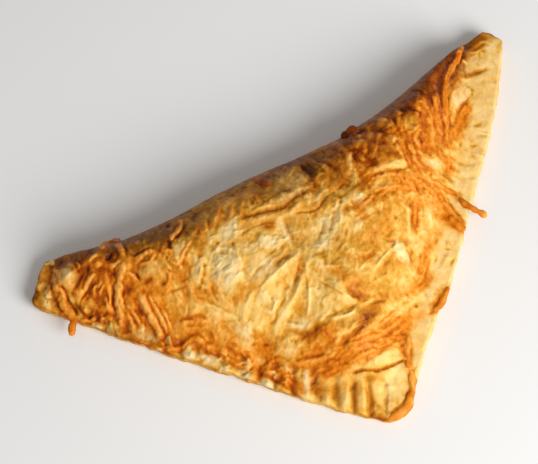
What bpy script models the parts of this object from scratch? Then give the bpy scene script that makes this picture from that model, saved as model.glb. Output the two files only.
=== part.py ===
"""Spinach feta puff: a square of puff pastry folded corner to corner over a filling, its two open
sides pressed shut with a fork, and baked under grated cheese that browned and ran in places.

The fold runs along X at the back (+Y), the crimped square corner points to the front (-Y), and the
flat base lies on z = 0. Sizes below are in millimetres; the mesh is made in metres.
"""

import math

import bmesh
import bpy
import numpy as np
from mathutils import Vector, noise
from mathutils.geometry import delaunay_2d_cdt

MM = 0.001

# The folded sheet seen from above: the corners of its edge and the radius that rounds each of them.
LEFT_TIP_FRONT = (-100.2, 41.6)
FRONT_CORNER = (-7.1, -59.4)
RIGHT_TIP_FRONT = (99.8, 48.9)
RIGHT_TIP_BACK = (95.4, 55.8)
LEFT_TIP_BACK = (-89.9, 53.3)
TIP_RADIUS = 3.5
FRONT_CORNER_RADIUS = 9.0
CORNER_STEPS = 12  # points along the arc that rounds each corner
SIDE_STEPS = 80  # points along each side between its corners

# How far each side swings inwards: the first number bows all of it, the next ones its halves and thirds.
LEFT_SEAM_SWINGS = (-1.6, 0.4, -0.2, 0.2)
RIGHT_SEAM_SWINGS = (-3.0, 1.0, 0.1, 0.6, 0.3)
FOLD_SWINGS = (12.5, -0.1, 1.3, -1.4)

# Heights.
DOME_HEIGHT = 29.0
FLANGE_HEIGHT = 6.5  # the two sheets where the fork pressed them together
FOLD_BULGE_HEIGHT = 9.0  # where the rounded fold stands out furthest
DOME_MIDDLE = (-4.6, 4.8)

# Width of the flat flange against the share of the way along its seam.
LEFT_FLANGE = ((0.0, 0.5, 0.85, 1.0), (5.0, 6.5, 11.0, 13.0))
RIGHT_FLANGE = ((0.0, 0.2, 0.6, 0.85, 1.0), (11.0, 8.5, 10.0, 14.0, 10.0))

# How far inwards the rolled fold and the sides above the seams reach, how square the roll is, and how
# softly the slopes meet: a flange and its side, seam and seam over the front, and seams and fold.
FOLD_ROLL = 34.0
SEAM_RISE = 36.0
ROLL_SQUARENESS = 2.4
FLANGE_BLEND = 2.0
SEAM_BLEND = 6.0
FOLD_BLEND = 4.0

# Lumps of the filling under the top sheet: size across and height of each kind, and the heights of the
# puff between which they set in.
LUMPS = ((17.0, 0.8), (7.0, 0.6))
LUMPS_SET_IN = (8.0, 16.0)

# Fork marks: how far apart and, for each seam, how deep, how far along the first lies, how slanted,
# and the stretch next to the front corner over which they fade out. They're up to a quarter shallower
# in places, by two waves along the seam of these lengths.
TINE_PITCH = 6.8
CRIMP_UNEVENNESS = 0.25
CRIMP_WAVES = (30.0, 76.0)
LEFT_CRIMPS = {"depth": 1.8, "first": 2.8, "slant": 0.34, "fade": (5.0, 10.0)}
RIGHT_CRIMPS = {"depth": 0.8, "first": 3.0, "slant": 0.35, "fade": (12.0, 24.0)}

# Flakes of the top sheet that lie a little proud: middle x, y, heading, length, width and lift. Each
# is level inside the first share of its size and back on the sheet at the second.
FLAKE_STEP = (0.8, 1.15)
FLAKES = (
    (-4, 30, 5, 19, 11, 0.9),
    (34, 23, -30, 10, 9, 0.8),
    (-10, -18, -10, 15, 9, 1.3),
    (-2, -34, -10, 19, 6, 1.2),
    (-36, 14, 50, 13, 9, 0.7),
    (-39, -5, 20, 9, 6, 0.8),
    (-29, -16, 45, 7, 6, 0.7),
    (20, -7, -95, 10, 6, 1.0),
    (-84, 40, -110, 10, 6, 0.8),
    (71, 35, 45, 15, 6, 0.8),
    (-82, 30, 30, 6, 4, 0.7),
    (-52, 24, -80, 11, 5, 0.7),
    (-20, 15, -50, 10, 7, 0.7),
    (39, 33, -75, 6, 5, 0.8),
    (46, 31, -90, 7, 6, 0.6),
    (-32, 31, 0, 9, 6, 0.7),
    (6, 18, 20, 9, 9, 0.6),
)

# Ridges and creases of the top sheet: middle x, y, heading, length, turn, width and height. Each fades
# in and out over a quarter of its length.
WRINKLE_FADE = 0.25
WRINKLES = (
    (-17, 24, -10, 17, -30, 3.4, 1.0),
    (-24, -3, -150, 25, 0, 4.0, 1.2),
    (-15, -5, -115, 18, -30, 2.6, 0.9),
    (-7, -7, -60, 23, 0, 2.8, 0.9),
    (-24, 5, -175, 21, -10, 3.6, 0.9),
    (-6, -1, -30, 14, -30, 2.6, 0.7),
    (8, -22, 20, 10, -40, 3.4, 0.8),
    (-26, 27, -135, 12, 100, 3.0, 0.8),
    (-5, -22, -170, 24, -30, 3.6, -2.2),
    (-28, -6, -150, 11, 20, 1.8, -0.8),
    (-12, 16, -110, 11, 30, 1.8, -0.7),
    (-3, -13, -55, 12, 80, 2.2, -0.9),
    (-6, -38, -15, 20, 30, 1.6, -1.3),
    (-16, 27, -20, 16, -10, 1.6, -0.8),
    (-4, 24, 5, 12, 0, 1.8, -0.9),
    (-20, 1, -145, 10, -10, 2.2, -0.9),
    (-74, 27, -115, 10, 40, 2.0, -1.2),
    (-67, 27, -120, 8, 0, 3.2, -1.8),
    (-68, 20, -95, 7, 0, 2.4, -1.2),
    (17, -22, -100, 7, -10, 2.0, -1.0),
)

# Melted strands of grated cheese: middle x, y, heading, length, turn and width.
LEFT_STRANDS = (
    (-88, 43, -110, 13, 20, 2.4),
    (-89, 31, -95, 14, -50, 2.8),
    (-81, 35, -150, 10, 30, 2.0),
    (-73, 39, -155, 6, -10, 2.4),
    (-64, 38, -90, 10, -90, 3.2),
    (-72, 28, -125, 18, 80, 3.2),
    (-65, 21, -90, 21, 30, 2.8),
    (-62, 17, -85, 13, 10, 2.2),
    (-61, 23, -165, 7, 50, 2.0),
    (-58, 32, -5, 9, -100, 2.2),
    (-55, 20, -140, 7, -100, 1.8),
    (-44, 35, -145, 11, -30, 2.2),
    (-45, 25, -135, 10, -130, 1.8),
    (-44, 16, -135, 9, -30, 1.8),
    (-50, 27, -75, 7, -40, 2.4),
    (-77, 27, -100, 6, 50, 2.2),
    (-73, 33, -105, 6, -40, 2.0),
    (-81, 24, -5, 7, -30, 2.0),
    (-84, 27, -50, 7, 70, 2.0),
    (-69, 19, -80, 11, 0, 2.4),
)
SEAM_STRANDS = (
    (-63, 6, -55, 9, 30, 2.4),
    (-55, 1, -40, 10, -100, 2.0),
    (-56, 8, -55, 8, 50, 2.0),
    (-48, -9, -75, 9, 0, 2.0),
    (-36, -18, 5, 8, -50, 2.2),
    (-32, -24, -85, 11, -10, 2.4),
    (-25, -24, -15, 16, 30, 2.2),
    (-20, -27, 0, 12, 10, 2.0),
    (-11, -28, 0, 25, 10, 2.2),
    (-4, -31, 5, 25, 0, 2.2),
    (-4, -26, 5, 19, 10, 2.2),
    (7, -29, 15, 14, -20, 2.0),
    (5, -40, -110, 13, 30, 2.6),
    (-3, -51, -160, 16, -50, 2.8),
    (26, -27, -155, 11, -50, 2.8),
    (27, -15, -140, 21, -70, 2.6),
)
RIGHT_STRANDS = (
    (74, 46, -140, 22, 20, 2.4),
    (63, 33, -115, 17, 20, 2.6),
    (55, 18, -120, 13, 0, 2.0),
    (68, 29, -150, 19, 20, 2.6),
    (55, 30, -135, 10, -30, 1.8),
    (42, 32, -110, 10, 0, 2.2),
    (38, 22, -110, 11, 30, 2.4),
    (19, 27, -115, 11, 60, 1.8),
    (26, 33, -105, 5, 0, 2.6),
    (38, 29, -35, 6, -90, 2.2),
    (31, 20, 0, 12, 50, 2.0),
    (23, 12, 0, 17, -10, 2.2),
    (41, 6, -60, 16, -20, 3.2),
    (45, -4, -70, 10, 20, 3.6),
    (44, 12, -35, 18, -50, 2.6),
    (52, 0, -65, 16, 20, 2.4),
    (32, 1, -135, 12, -50, 2.2),
    (45, 23, -50, 7, 90, 2.0),
    (47, 16, -55, 7, 70, 2.0),
    (26, 28, -125, 9, 60, 2.2),
    (30, 42, -20, 5, 0, 3.4),
)
FOLD_STRANDS = (
    (-10, 38, -60, 9, -70, 2.2),
    (-25, 31, -125, 9, -60, 2.0),
    (-22, 32, -115, 9, 50, 1.8),
    (-37, 29, -95, 7, -110, 2.0),
)

# Shape of a strand, in shares of its width: half its height, how far its middle line lies above the
# pastry, and how much it swells and narrows; then how much of a half wave its taper leaves out at each
# end, how far past the edge it's held up, how fast it sags beyond, and its mesh.
STRAND_HALF_HEIGHT = 0.42
STRAND_LIFT = 0.2
STRAND_UNEVENNESS = 0.12
TAPER_START = 0.12
EDGE_HOLD = 0.8
SAG = 0.12
STRAND_STEP = 2.6
STRAND_SIDES = 6

# Side of the puff from the rim down: share of the rim's height, and how far in from the edge.
SEAM_PROFILE = ((0.85, -0.3), (0.58, -0.1), (0.50, 0.9), (0.42, -0.2), (0.0, 0.6))
FOLD_PROFILE = ((0.82, 0.0), (0.60, 0.5), (0.40, 1.5), (0.18, 3.2), (0.0, 5.0))

# Mesh: points along the left seam, right seam and fold, rings of points near the edge, the spacing
# of the grid within and how near to the last ring it may come, how many triangles are kept once the
# level parts of the top have been thinned out, and the angle from which an edge is shaded sharp.
SIDE_POINTS = (80, 88, 40)
RING_SHARES = (0.98, 0.94, 0.9, 0.86)
GRID = 1.9
GRID_CLEARANCE = 0.45
MOST_TRIANGLES = 11800
SHARP_ANGLE = 60


def smoothstep(low, high, value):
    """0 below low, 1 above high and an S-curve between them."""
    share = np.clip((np.asarray(value, float) - low) / (high - low), 0.0, 1.0)
    return share * share * (3.0 - 2.0 * share)


def smooth_min(a, b, softness):
    """The lesser of a and b, with the crease between them rounded off."""
    mix = np.clip(0.5 + 0.5 * (b - a) / softness, 0.0, 1.0)
    return b + (a - b) * mix - softness * mix * (1.0 - mix)


def corner_arc(before, corner, after, radius):
    """Points of the arc that blunts a corner, from the side before it to the side after it."""
    before, corner, after = (np.array(p, float) for p in (before, corner, after))
    to_before = (before - corner) / np.linalg.norm(before - corner)
    to_after = (after - corner) / np.linalg.norm(after - corner)
    half_angle = math.acos(float(to_before @ to_after)) / 2
    reach = radius / math.tan(half_angle)
    centre = corner + (to_before + to_after) / (2 * math.cos(half_angle)) * (radius / math.sin(half_angle))
    start = corner + to_before * reach - centre
    end = corner + to_after * reach - centre
    turn = math.acos(float(start @ end) / radius**2)
    share = np.linspace(0.0, 1.0, CORNER_STEPS)
    weights = np.stack([np.sin((1 - share) * turn), np.sin(share * turn)], 1) / math.sin(turn)
    return centre + weights @ np.stack([start, end])


def bowed_side(start, end, swings):
    """Points from start to end, moved to the left of the way by waves of the given heights."""
    start, end = np.array(start), np.array(end)
    share = np.linspace(0.0, 1.0, SIDE_STEPS)[:, None]
    along = (end - start) / np.linalg.norm(end - start)
    left = np.array([-along[1], along[0]])
    inwards = sum(height * np.sin((k + 1) * np.pi * share) for k, height in enumerate(swings))
    return start + (end - start) * share + left * inwards


def edge_sides():
    """The edge as three sides, anticlockwise: the left seam, the right seam and the fold."""
    left_end = corner_arc(LEFT_TIP_BACK, LEFT_TIP_FRONT, FRONT_CORNER, TIP_RADIUS)
    front = corner_arc(LEFT_TIP_FRONT, FRONT_CORNER, RIGHT_TIP_FRONT, FRONT_CORNER_RADIUS)
    right_end = corner_arc(FRONT_CORNER, RIGHT_TIP_FRONT, RIGHT_TIP_BACK, TIP_RADIUS)
    right_back = corner_arc(RIGHT_TIP_FRONT, RIGHT_TIP_BACK, LEFT_TIP_BACK, TIP_RADIUS)
    left_back = corner_arc(RIGHT_TIP_BACK, LEFT_TIP_BACK, LEFT_TIP_FRONT, TIP_RADIUS)
    left_side = bowed_side(left_end[-1], front[0], LEFT_SEAM_SWINGS)[1:-1]
    right_side = bowed_side(front[-1], right_end[0], RIGHT_SEAM_SWINGS)[1:-1]
    fold_side = bowed_side(right_back[-1], left_back[0], FOLD_SWINGS)
    half = CORNER_STEPS // 2
    left_seam = np.concatenate([left_back[half:], left_end, left_side, front[: half + 1]])
    right_seam = np.concatenate([front[half:], right_side, right_end, right_back[: half + 1]])
    fold = np.concatenate([right_back[half:-1], fold_side, left_back[1 : half + 1]])
    return left_seam, right_seam, fold


def arc_lengths(line):
    """How far along a line of points each of them lies."""
    return np.concatenate([[0.0], np.cumsum(np.linalg.norm(np.diff(line, axis=0), axis=1))])


LEFT_SEAM, RIGHT_SEAM, FOLD = edge_sides()


def distance_and_arc(points, line):
    """How far each point is from a line of points, and how far along the line the nearest place is."""
    start, step = line[:-1], np.diff(line, axis=0)
    lengths = np.linalg.norm(step, axis=1)
    offset = points[:, None, :] - start[None]
    share = np.clip((offset * step).sum(2) / lengths**2, 0.0, 1.0)
    gaps = np.linalg.norm(offset - share[..., None] * step, axis=2)
    nearest = gaps.argmin(1)
    rows = np.arange(len(points))
    return gaps[rows, nearest], arc_lengths(line)[nearest] + share[rows, nearest] * lengths[nearest]


def noise_at(points, size, seed):
    """Smooth noise between about -1 and 1 over the plan, with lumps of the given size."""
    shift = Vector((seed * 17.3, seed * 5.1, seed * 9.7))
    return np.array([noise.noise(Vector((x / size, y / size, 0.0)) + shift) for x, y in points]) * 1.6


def fold_roll(distance):
    """Height of the rolled fold: steep at the edge and level where it meets the top of the dome."""
    share = np.clip(1.0 - distance / FOLD_ROLL, 0.0, 1.0)
    return FOLD_BULGE_HEIGHT + (DOME_HEIGHT - FOLD_BULGE_HEIGHT) * np.sqrt(1.0 - share**ROLL_SQUARENESS)


def seam_rise(distance, flange):
    """Height over a seam: the flat pressed flange, then the side of the filling."""
    beyond = distance - flange
    beyond = 0.5 * (beyond + np.sqrt(beyond**2 + FLANGE_BLEND**2))
    share = np.clip(1.0 - beyond / SEAM_RISE, 0.0, 1.0)
    return FLANGE_HEIGHT + (DOME_HEIGHT - FLANGE_HEIGHT) * (1.0 - share**2)


def crimps(distance, arc, from_corner, length, flange, marks):
    """Depth of the fork's grooves, which run across the flange and fade out where the filling starts."""
    pitch = length / round(length / TINE_PITCH)
    wave = 0.5 + 0.5 * np.cos(2 * math.pi * (arc + marks["slant"] * distance - marks["first"]) / pitch)
    short_wave, long_wave = (np.sin(2 * math.pi * arc / wave_length + 1.0) for wave_length in CRIMP_WAVES)
    uneven = 1.0 - CRIMP_UNEVENNESS * (1.0 - short_wave * long_wave)
    across = 1.0 - smoothstep(0.75 * flange, 1.25 * flange, distance)
    return marks["depth"] * uneven * wave**1.5 * across * smoothstep(*marks["fade"], from_corner)


def strand_path(x, y, heading, length, turn):
    """Points along an arc with the given middle, heading there, length and whole turn."""
    count = max(4, round(length / STRAND_STEP) + 1)
    share = np.linspace(-0.5, 0.5, 41)
    angle = np.radians(heading + turn * share)
    steps = np.stack([np.cos(angle), np.sin(angle)], 1) * (share[1] - share[0]) * length
    path = np.concatenate([np.zeros((1, 2)), np.cumsum((steps[1:] + steps[:-1]) / 2, axis=0)])
    path = path - path[len(path) // 2] + (x, y)
    places = np.linspace(-0.5, 0.5, count)
    return np.stack([np.interp(places, share, path[:, k]) for k in range(2)], 1)


def flake_lift(points):
    """How far the loose flakes raise the top sheet: flat on top, with a short step down all round."""
    lift = np.zeros(len(points))
    for x, y, heading, length, width, height in FLAKES:
        angle = math.radians(heading)
        along = (points[:, 0] - x) * math.cos(angle) + (points[:, 1] - y) * math.sin(angle)
        across = (points[:, 1] - y) * math.cos(angle) - (points[:, 0] - x) * math.sin(angle)
        reach = (np.abs(2 * along / length) ** 3 + np.abs(2 * across / width) ** 3) ** (1 / 3)
        lift = np.maximum(lift, height * (1.0 - smoothstep(*FLAKE_STEP, reach)))
    return lift


def wrinkle_height(points):
    """Sum of the named ridges and creases, each fading out towards its ends."""
    total = np.zeros(len(points))
    for x, y, heading, length, turn, width, height in WRINKLES:
        path = strand_path(x, y, heading, length, turn)
        gap, arc = distance_and_arc(points, path)
        to_end = np.minimum(arc / length, 1.0 - arc / length)
        total = total + height * smoothstep(0.0, WRINKLE_FADE, to_end) * np.exp(-((1.6 * gap / width) ** 2))
    return total


def top_height(points):
    """Height of the upper surface over each point of the plan."""
    points = np.atleast_2d(np.asarray(points, float))
    from_fold, _ = distance_and_arc(points, FOLD)
    from_left, along_left = distance_and_arc(points, LEFT_SEAM)
    from_right, along_right = distance_and_arc(points, RIGHT_SEAM)
    left_length, right_length = arc_lengths(LEFT_SEAM)[-1], arc_lengths(RIGHT_SEAM)[-1]
    left_flange = np.interp(along_left / left_length, *LEFT_FLANGE)
    right_flange = np.interp(along_right / right_length, *RIGHT_FLANGE)
    height = smooth_min(seam_rise(from_left, left_flange), seam_rise(from_right, right_flange), SEAM_BLEND)
    height = smooth_min(height, fold_roll(from_fold), FOLD_BLEND)
    raised = smoothstep(*LUMPS_SET_IN, height)
    for seed, (size, lump_height) in enumerate(LUMPS, start=1):
        height = height + raised * lump_height * noise_at(points, size, seed)
    height = height + flake_lift(points) + wrinkle_height(points)
    to_corner = left_length - along_left
    height = height - crimps(from_left, along_left, to_corner, left_length, left_flange, LEFT_CRIMPS)
    height = height - crimps(from_right, along_right, along_right, right_length, right_flange, RIGHT_CRIMPS)
    return height


def resample(line, count):
    """The line as count points evenly spaced along it, without its last point."""
    arcs = arc_lengths(line)
    places = np.linspace(0.0, arcs[-1], count + 1)[:-1]
    return np.stack([np.interp(places, arcs, line[:, k]) for k in range(2)], 1)


def edge_loop():
    """The edge's points and, for each, how much it belongs to the fold."""
    loop = np.concatenate([resample(side, n) for side, n in zip((LEFT_SEAM, RIGHT_SEAM, FOLD), SIDE_POINTS)])
    to_seam = np.minimum(distance_and_arc(loop, LEFT_SEAM)[0], distance_and_arc(loop, RIGHT_SEAM)[0])
    return loop, smoothstep(0.5, 12.0, to_seam)


def outward_normals(loop):
    """The level direction out of the puff at each point of the edge."""
    along = np.roll(loop, -1, 0) - np.roll(loop, 1, 0)
    along = along + 0.5 * (np.roll(along, -1, 0) + np.roll(along, 1, 0))
    normals = np.stack([along[:, 1], -along[:, 0]], 1)
    return normals / np.linalg.norm(normals, axis=1)[:, None]


def side_rings(loop, folded, rim):
    """Rings of the side from the rim down to the base: a gap between the sheets, or the fold's curve."""
    normals = outward_normals(loop)
    rings = []
    for (seam_share, seam_in), (fold_share, fold_in) in zip(SEAM_PROFILE, FOLD_PROFILE):
        share = seam_share + (fold_share - seam_share) * folded
        inset = seam_in + (fold_in - seam_in) * folded
        rings.append(np.column_stack([loop - normals * inset[:, None], rim * share]))
    return rings


def inside(points, loop):
    """Which points lie within a closed loop."""
    after = np.roll(loop, -1, 0)
    x, y = points[:, :1], points[:, 1:]
    crosses = (loop[:, 1] > y) != (after[:, 1] > y)
    slope = (after[:, 0] - loop[:, 0]) / (after[:, 1] - loop[:, 1] + 1e-12)
    return (crosses & (x < loop[:, 0] + slope * (y - loop[:, 1]))).sum(1) % 2 == 1


def inner_points(loop):
    """Points of the upper surface inside the edge: rings near the edge, then a triangular grid."""
    middle = np.array(DOME_MIDDLE)
    rings = [middle + (loop - middle) * share for share in RING_SHARES]
    last = rings[-1]
    low, high = last.min(0), last.max(0)
    rows = np.arange(low[1], high[1], GRID * math.sqrt(0.75))
    grid = [(x + GRID / 2 * (k % 2), y) for k, y in enumerate(rows) for x in np.arange(low[0], high[0], GRID)]
    grid = np.array(grid)
    gap, _ = distance_and_arc(grid, np.vstack([last, last[:1]]))
    return np.vstack(rings + [grid[inside(grid, last) & (gap > GRID_CLEARANCE * GRID)]])


def pastry_body():
    """The filled and crimped pastry as one closed mesh."""
    loop, folded = edge_loop()
    plan = np.vstack([loop, inner_points(loop)])
    count = len(loop)
    edges = [(k, (k + 1) % count) for k in range(count)]
    points, _, faces, origin, _, _ = delaunay_2d_cdt([Vector(p) for p in plan], edges, [], 1, 0.001)
    order = [found[0] for found in origin]
    top = np.array([tuple(p) for p in points])
    upper = np.column_stack([top, top_height(top)])
    rim = np.empty(count)
    for k, source in enumerate(order):
        if source < count:
            rim[source] = upper[k, 2]
    rings = side_rings(loop, folded, rim)
    mesh = bmesh.new()
    made = [mesh.verts.new(p * MM) for p in upper]
    rim_verts = [None] * count
    for k, source in enumerate(order):
        if source < count:
            rim_verts[source] = made[k]
    for face in faces:
        mesh.faces.new([made[k] for k in face])
    above = rim_verts
    for ring in rings:
        below = [mesh.verts.new(p * MM) for p in ring]
        for k in range(count):
            after = (k + 1) % count
            mesh.faces.new([above[k], below[k], below[after], above[after]])
        above = below
    mesh.faces.new(above[::-1])
    bmesh.ops.recalc_face_normals(mesh, faces=mesh.faces)
    bmesh.ops.triangulate(mesh, faces=mesh.faces)
    return new_object(mesh, "spinach_feta_puff")


def resting_height(points, loop):
    """Height at which a strand's middle line lies: on the puff, or sagging a little past its edge."""
    middle = np.array(DOME_MIDDLE)
    gap, _ = distance_and_arc(points, np.vstack([loop, loop[:1]]))
    out = ~inside(points, loop)
    toward = (middle - points) / np.linalg.norm(middle - points, axis=1)[:, None]
    held = np.where(out[:, None], points + toward * (gap[:, None] + EDGE_HOLD), points)
    return top_height(held) - np.where(out, SAG * gap**1.3, 0.0)


def strand(row, loop, name):
    """One strand of cheese as a closed tube, thinner at its ends and flattened where it melted."""
    x, y, heading, length, turn, width = row
    path = strand_path(x, y, heading, length, turn)
    rest = resting_height(path, loop)
    along = np.gradient(np.column_stack([path, rest]), axis=0)
    along = along / np.linalg.norm(along, axis=1)[:, None]
    across = np.cross([0.0, 0.0, 1.0], along)
    across = across / np.linalg.norm(across, axis=1)[:, None]
    up = np.cross(along, across)
    count = len(path)
    taper = np.sin(math.pi * np.linspace(TAPER_START, 1.0 - TAPER_START, count)) ** 0.4
    taper = taper * (1.0 + STRAND_UNEVENNESS * np.sin(np.arange(count) * 2.1 + x))
    middle = np.column_stack([path, rest]) + up * (STRAND_LIFT * width)
    mesh = bmesh.new()
    rings = []
    for k in range(count):
        ring = []
        for side in range(STRAND_SIDES):
            angle = 2 * math.pi * (side + 0.25) / STRAND_SIDES
            offset = across[k] * math.cos(angle) * 0.5 + up[k] * math.sin(angle) * STRAND_HALF_HEIGHT
            ring.append(mesh.verts.new((middle[k] + offset * width * taper[k]) * MM))
        rings.append(ring)
    for before, after in zip(rings, rings[1:]):
        for side in range(STRAND_SIDES):
            near = (side + 1) % STRAND_SIDES
            mesh.faces.new([before[side], before[near], after[near], after[side]])
    mesh.faces.new(rings[0][::-1])
    mesh.faces.new(rings[-1])
    bmesh.ops.recalc_face_normals(mesh, faces=mesh.faces)
    bmesh.ops.triangulate(mesh, faces=mesh.faces)
    return new_object(mesh, name)


def fuse_strands(puff):
    """Fuses every strand to the pastry that it melted onto."""
    loop, _ = edge_loop()
    strands = bpy.data.collections.new("strands")
    bpy.context.scene.collection.children.link(strands)
    for k, row in enumerate(LEFT_STRANDS + SEAM_STRANDS + RIGHT_STRANDS + FOLD_STRANDS):
        made = strand(row, loop, f"strand_{k:02d}")
        bpy.context.scene.collection.objects.unlink(made)
        strands.objects.link(made)
    fuse = puff.modifiers.new("fuse_strands", "BOOLEAN")
    fuse.operation = "UNION"
    fuse.solver = "EXACT"
    fuse.operand_type = "COLLECTION"
    fuse.collection = strands
    bpy.context.view_layer.objects.active = puff
    bpy.ops.object.modifier_apply(modifier=fuse.name)
    for made in list(strands.objects):
        bpy.data.objects.remove(made, do_unlink=True)
    bpy.data.collections.remove(strands)


def new_object(mesh, name):
    """Makes an object of the given mesh in the scene."""
    data = bpy.data.meshes.new(name)
    mesh.to_mesh(data)
    mesh.free()
    made = bpy.data.objects.new(name, data)
    bpy.context.scene.collection.objects.link(made)
    return made


def thin_out(puff):
    """Merges triangles where the top is nearly level, so that they're kept for the relief."""
    top = puff.vertex_groups.new(name="top")
    top.add([v.index for v in puff.data.vertices if v.co.z > 0.5 * FLANGE_HEIGHT * MM], 1.0, "REPLACE")
    mesh = bmesh.new()
    mesh.from_mesh(puff.data)
    bmesh.ops.triangulate(mesh, faces=mesh.faces)
    mesh.to_mesh(puff.data)
    mesh.free()
    thin = puff.modifiers.new("thin_out", "DECIMATE")
    thin.ratio = MOST_TRIANGLES / len(puff.data.polygons)
    thin.vertex_group = top.name
    bpy.context.view_layer.objects.active = puff
    bpy.ops.object.modifier_apply(modifier=thin.name)
    puff.vertex_groups.clear()


def baked_pastry():
    """Material of the puff: baked pastry under browned cheese, slightly greasy."""
    material = bpy.data.materials.new("baked_puff_pastry")
    material.use_nodes = True
    shader = material.node_tree.nodes["Principled BSDF"]
    shader.inputs["Base Color"].default_value = (0.62, 0.33, 0.09, 1.0)
    shader.inputs["Roughness"].default_value = 0.5
    return material


def build():
    """Clears the scene and makes the puff."""
    for old in list(bpy.data.objects):
        bpy.data.objects.remove(old, do_unlink=True)
    puff = pastry_body()
    fuse_strands(puff)
    thin_out(puff)
    puff.data.materials.append(baked_pastry())
    puff.data.shade_smooth()
    puff.data.set_sharp_from_angle(angle=math.radians(SHARP_ANGLE))


build()
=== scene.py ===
"""Spinach feta puff: a square of puff pastry folded corner to corner over a filling, pressed shut with
a fork along its two open sides, and baked under grated cheese that browned and ran.

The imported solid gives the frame: the fold runs along X at the back, the square corner points to -Y, and
the flat base lies on z = 0. Sizes are in millimetres, and the meshes are made in metres.
"""

import math

import bpy
import numpy as np
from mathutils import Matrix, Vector, noise
from mathutils.geometry import delaunay_2d_cdt


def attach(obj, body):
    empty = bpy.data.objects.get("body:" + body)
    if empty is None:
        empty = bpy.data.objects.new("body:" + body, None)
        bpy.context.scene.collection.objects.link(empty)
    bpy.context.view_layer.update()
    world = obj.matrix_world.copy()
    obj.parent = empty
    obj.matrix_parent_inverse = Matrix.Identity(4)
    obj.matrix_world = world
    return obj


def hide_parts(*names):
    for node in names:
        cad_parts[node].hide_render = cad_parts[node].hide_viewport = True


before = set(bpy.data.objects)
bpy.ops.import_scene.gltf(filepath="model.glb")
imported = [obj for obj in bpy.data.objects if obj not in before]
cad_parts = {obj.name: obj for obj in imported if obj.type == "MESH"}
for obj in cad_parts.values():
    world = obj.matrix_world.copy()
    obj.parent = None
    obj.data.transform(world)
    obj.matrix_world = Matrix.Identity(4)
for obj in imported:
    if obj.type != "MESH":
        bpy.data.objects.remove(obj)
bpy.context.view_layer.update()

# ------------------------------------------------------------------------------------------------------
# The folded sheet. One square of dough is laid corner to corner over the filling, so that it has a
# rounded fold at the back and two open sides in front, where upper and lower sheet lie on each other.
# ------------------------------------------------------------------------------------------------------

# Corners of the folded sheet, two at each blunt tip and one in front, and how round they are.
LEFT_TIP_FRONT = (-100.2, 41.6)
FRONT_CORNER = (-7.1, -59.4)
RIGHT_TIP_FRONT = (99.8, 48.9)
RIGHT_TIP_BACK = (95.4, 55.8)
LEFT_TIP_BACK = (-89.9, 53.3)
TIP_RADIUS = 3.5
FRONT_CORNER_RADIUS = 9.0
CORNER_STEPS = 12
SIDE_STEPS = 80

# How far each side swings inwards: the first number bows all of it, the next ones its halves and thirds.
LEFT_SEAM_SWINGS = (-1.6, 0.4, -0.2, 0.2)
RIGHT_SEAM_SWINGS = (-3.0, 1.0, 0.1, 0.6, 0.3)
FOLD_SWINGS = (12.5, -0.1, 1.3, -1.4)


def corner_arc(before, corner, after, radius):
    """Points of the arc that blunts a corner, from the side before it to the side after it."""
    before, corner, after = (np.array(p, float) for p in (before, corner, after))
    to_before = (before - corner) / np.linalg.norm(before - corner)
    to_after = (after - corner) / np.linalg.norm(after - corner)
    half_angle = math.acos(float(to_before @ to_after)) / 2
    reach = radius / math.tan(half_angle)
    centre = corner + (to_before + to_after) / (2 * math.cos(half_angle)) * (radius / math.sin(half_angle))
    start = corner + to_before * reach - centre
    end = corner + to_after * reach - centre
    turn = math.acos(float(start @ end) / radius**2)
    share = np.linspace(0.0, 1.0, CORNER_STEPS)
    weights = np.stack([np.sin((1 - share) * turn), np.sin(share * turn)], 1) / math.sin(turn)
    return centre + weights @ np.stack([start, end])


def bowed_side(start, end, swings):
    """Points from start to end, moved to the left of the way by waves of the given heights."""
    start, end = np.array(start), np.array(end)
    share = np.linspace(0.0, 1.0, SIDE_STEPS)[:, None]
    along = (end - start) / np.linalg.norm(end - start)
    left = np.array([-along[1], along[0]])
    inwards = sum(height * np.sin((k + 1) * np.pi * share) for k, height in enumerate(swings))
    return start + (end - start) * share + left * inwards


def edge_sides():
    """The edge as three sides, anticlockwise: the left seam, the right seam and the fold."""
    left_end = corner_arc(LEFT_TIP_BACK, LEFT_TIP_FRONT, FRONT_CORNER, TIP_RADIUS)
    front = corner_arc(LEFT_TIP_FRONT, FRONT_CORNER, RIGHT_TIP_FRONT, FRONT_CORNER_RADIUS)
    right_end = corner_arc(FRONT_CORNER, RIGHT_TIP_FRONT, RIGHT_TIP_BACK, TIP_RADIUS)
    right_back = corner_arc(RIGHT_TIP_FRONT, RIGHT_TIP_BACK, LEFT_TIP_BACK, TIP_RADIUS)
    left_back = corner_arc(RIGHT_TIP_BACK, LEFT_TIP_BACK, LEFT_TIP_FRONT, TIP_RADIUS)
    left_side = bowed_side(left_end[-1], front[0], LEFT_SEAM_SWINGS)[1:-1]
    right_side = bowed_side(front[-1], right_end[0], RIGHT_SEAM_SWINGS)[1:-1]
    fold_side = bowed_side(right_back[-1], left_back[0], FOLD_SWINGS)
    half = CORNER_STEPS // 2
    left_seam = np.concatenate([left_back[half:], left_end, left_side, front[: half + 1]])
    right_seam = np.concatenate([front[half:], right_side, right_end, right_back[: half + 1]])
    fold = np.concatenate([right_back[half:-1], fold_side, left_back[1 : half + 1]])
    return left_seam, right_seam, fold


LEFT_SEAM, RIGHT_SEAM, FOLD = edge_sides()

# ------------------------------------------------------------------------------------------------------
# The filled body. The filling domes the upper sheet, the fold stays round, and the open sides are
# pressed flat with a fork, which leaves a row of grooves across each of them.
# ------------------------------------------------------------------------------------------------------

DOME_HEIGHT = 28.8
FLANGE_HEIGHT = 6.5
FOLD_BULGE_HEIGHT = 9.0

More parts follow.
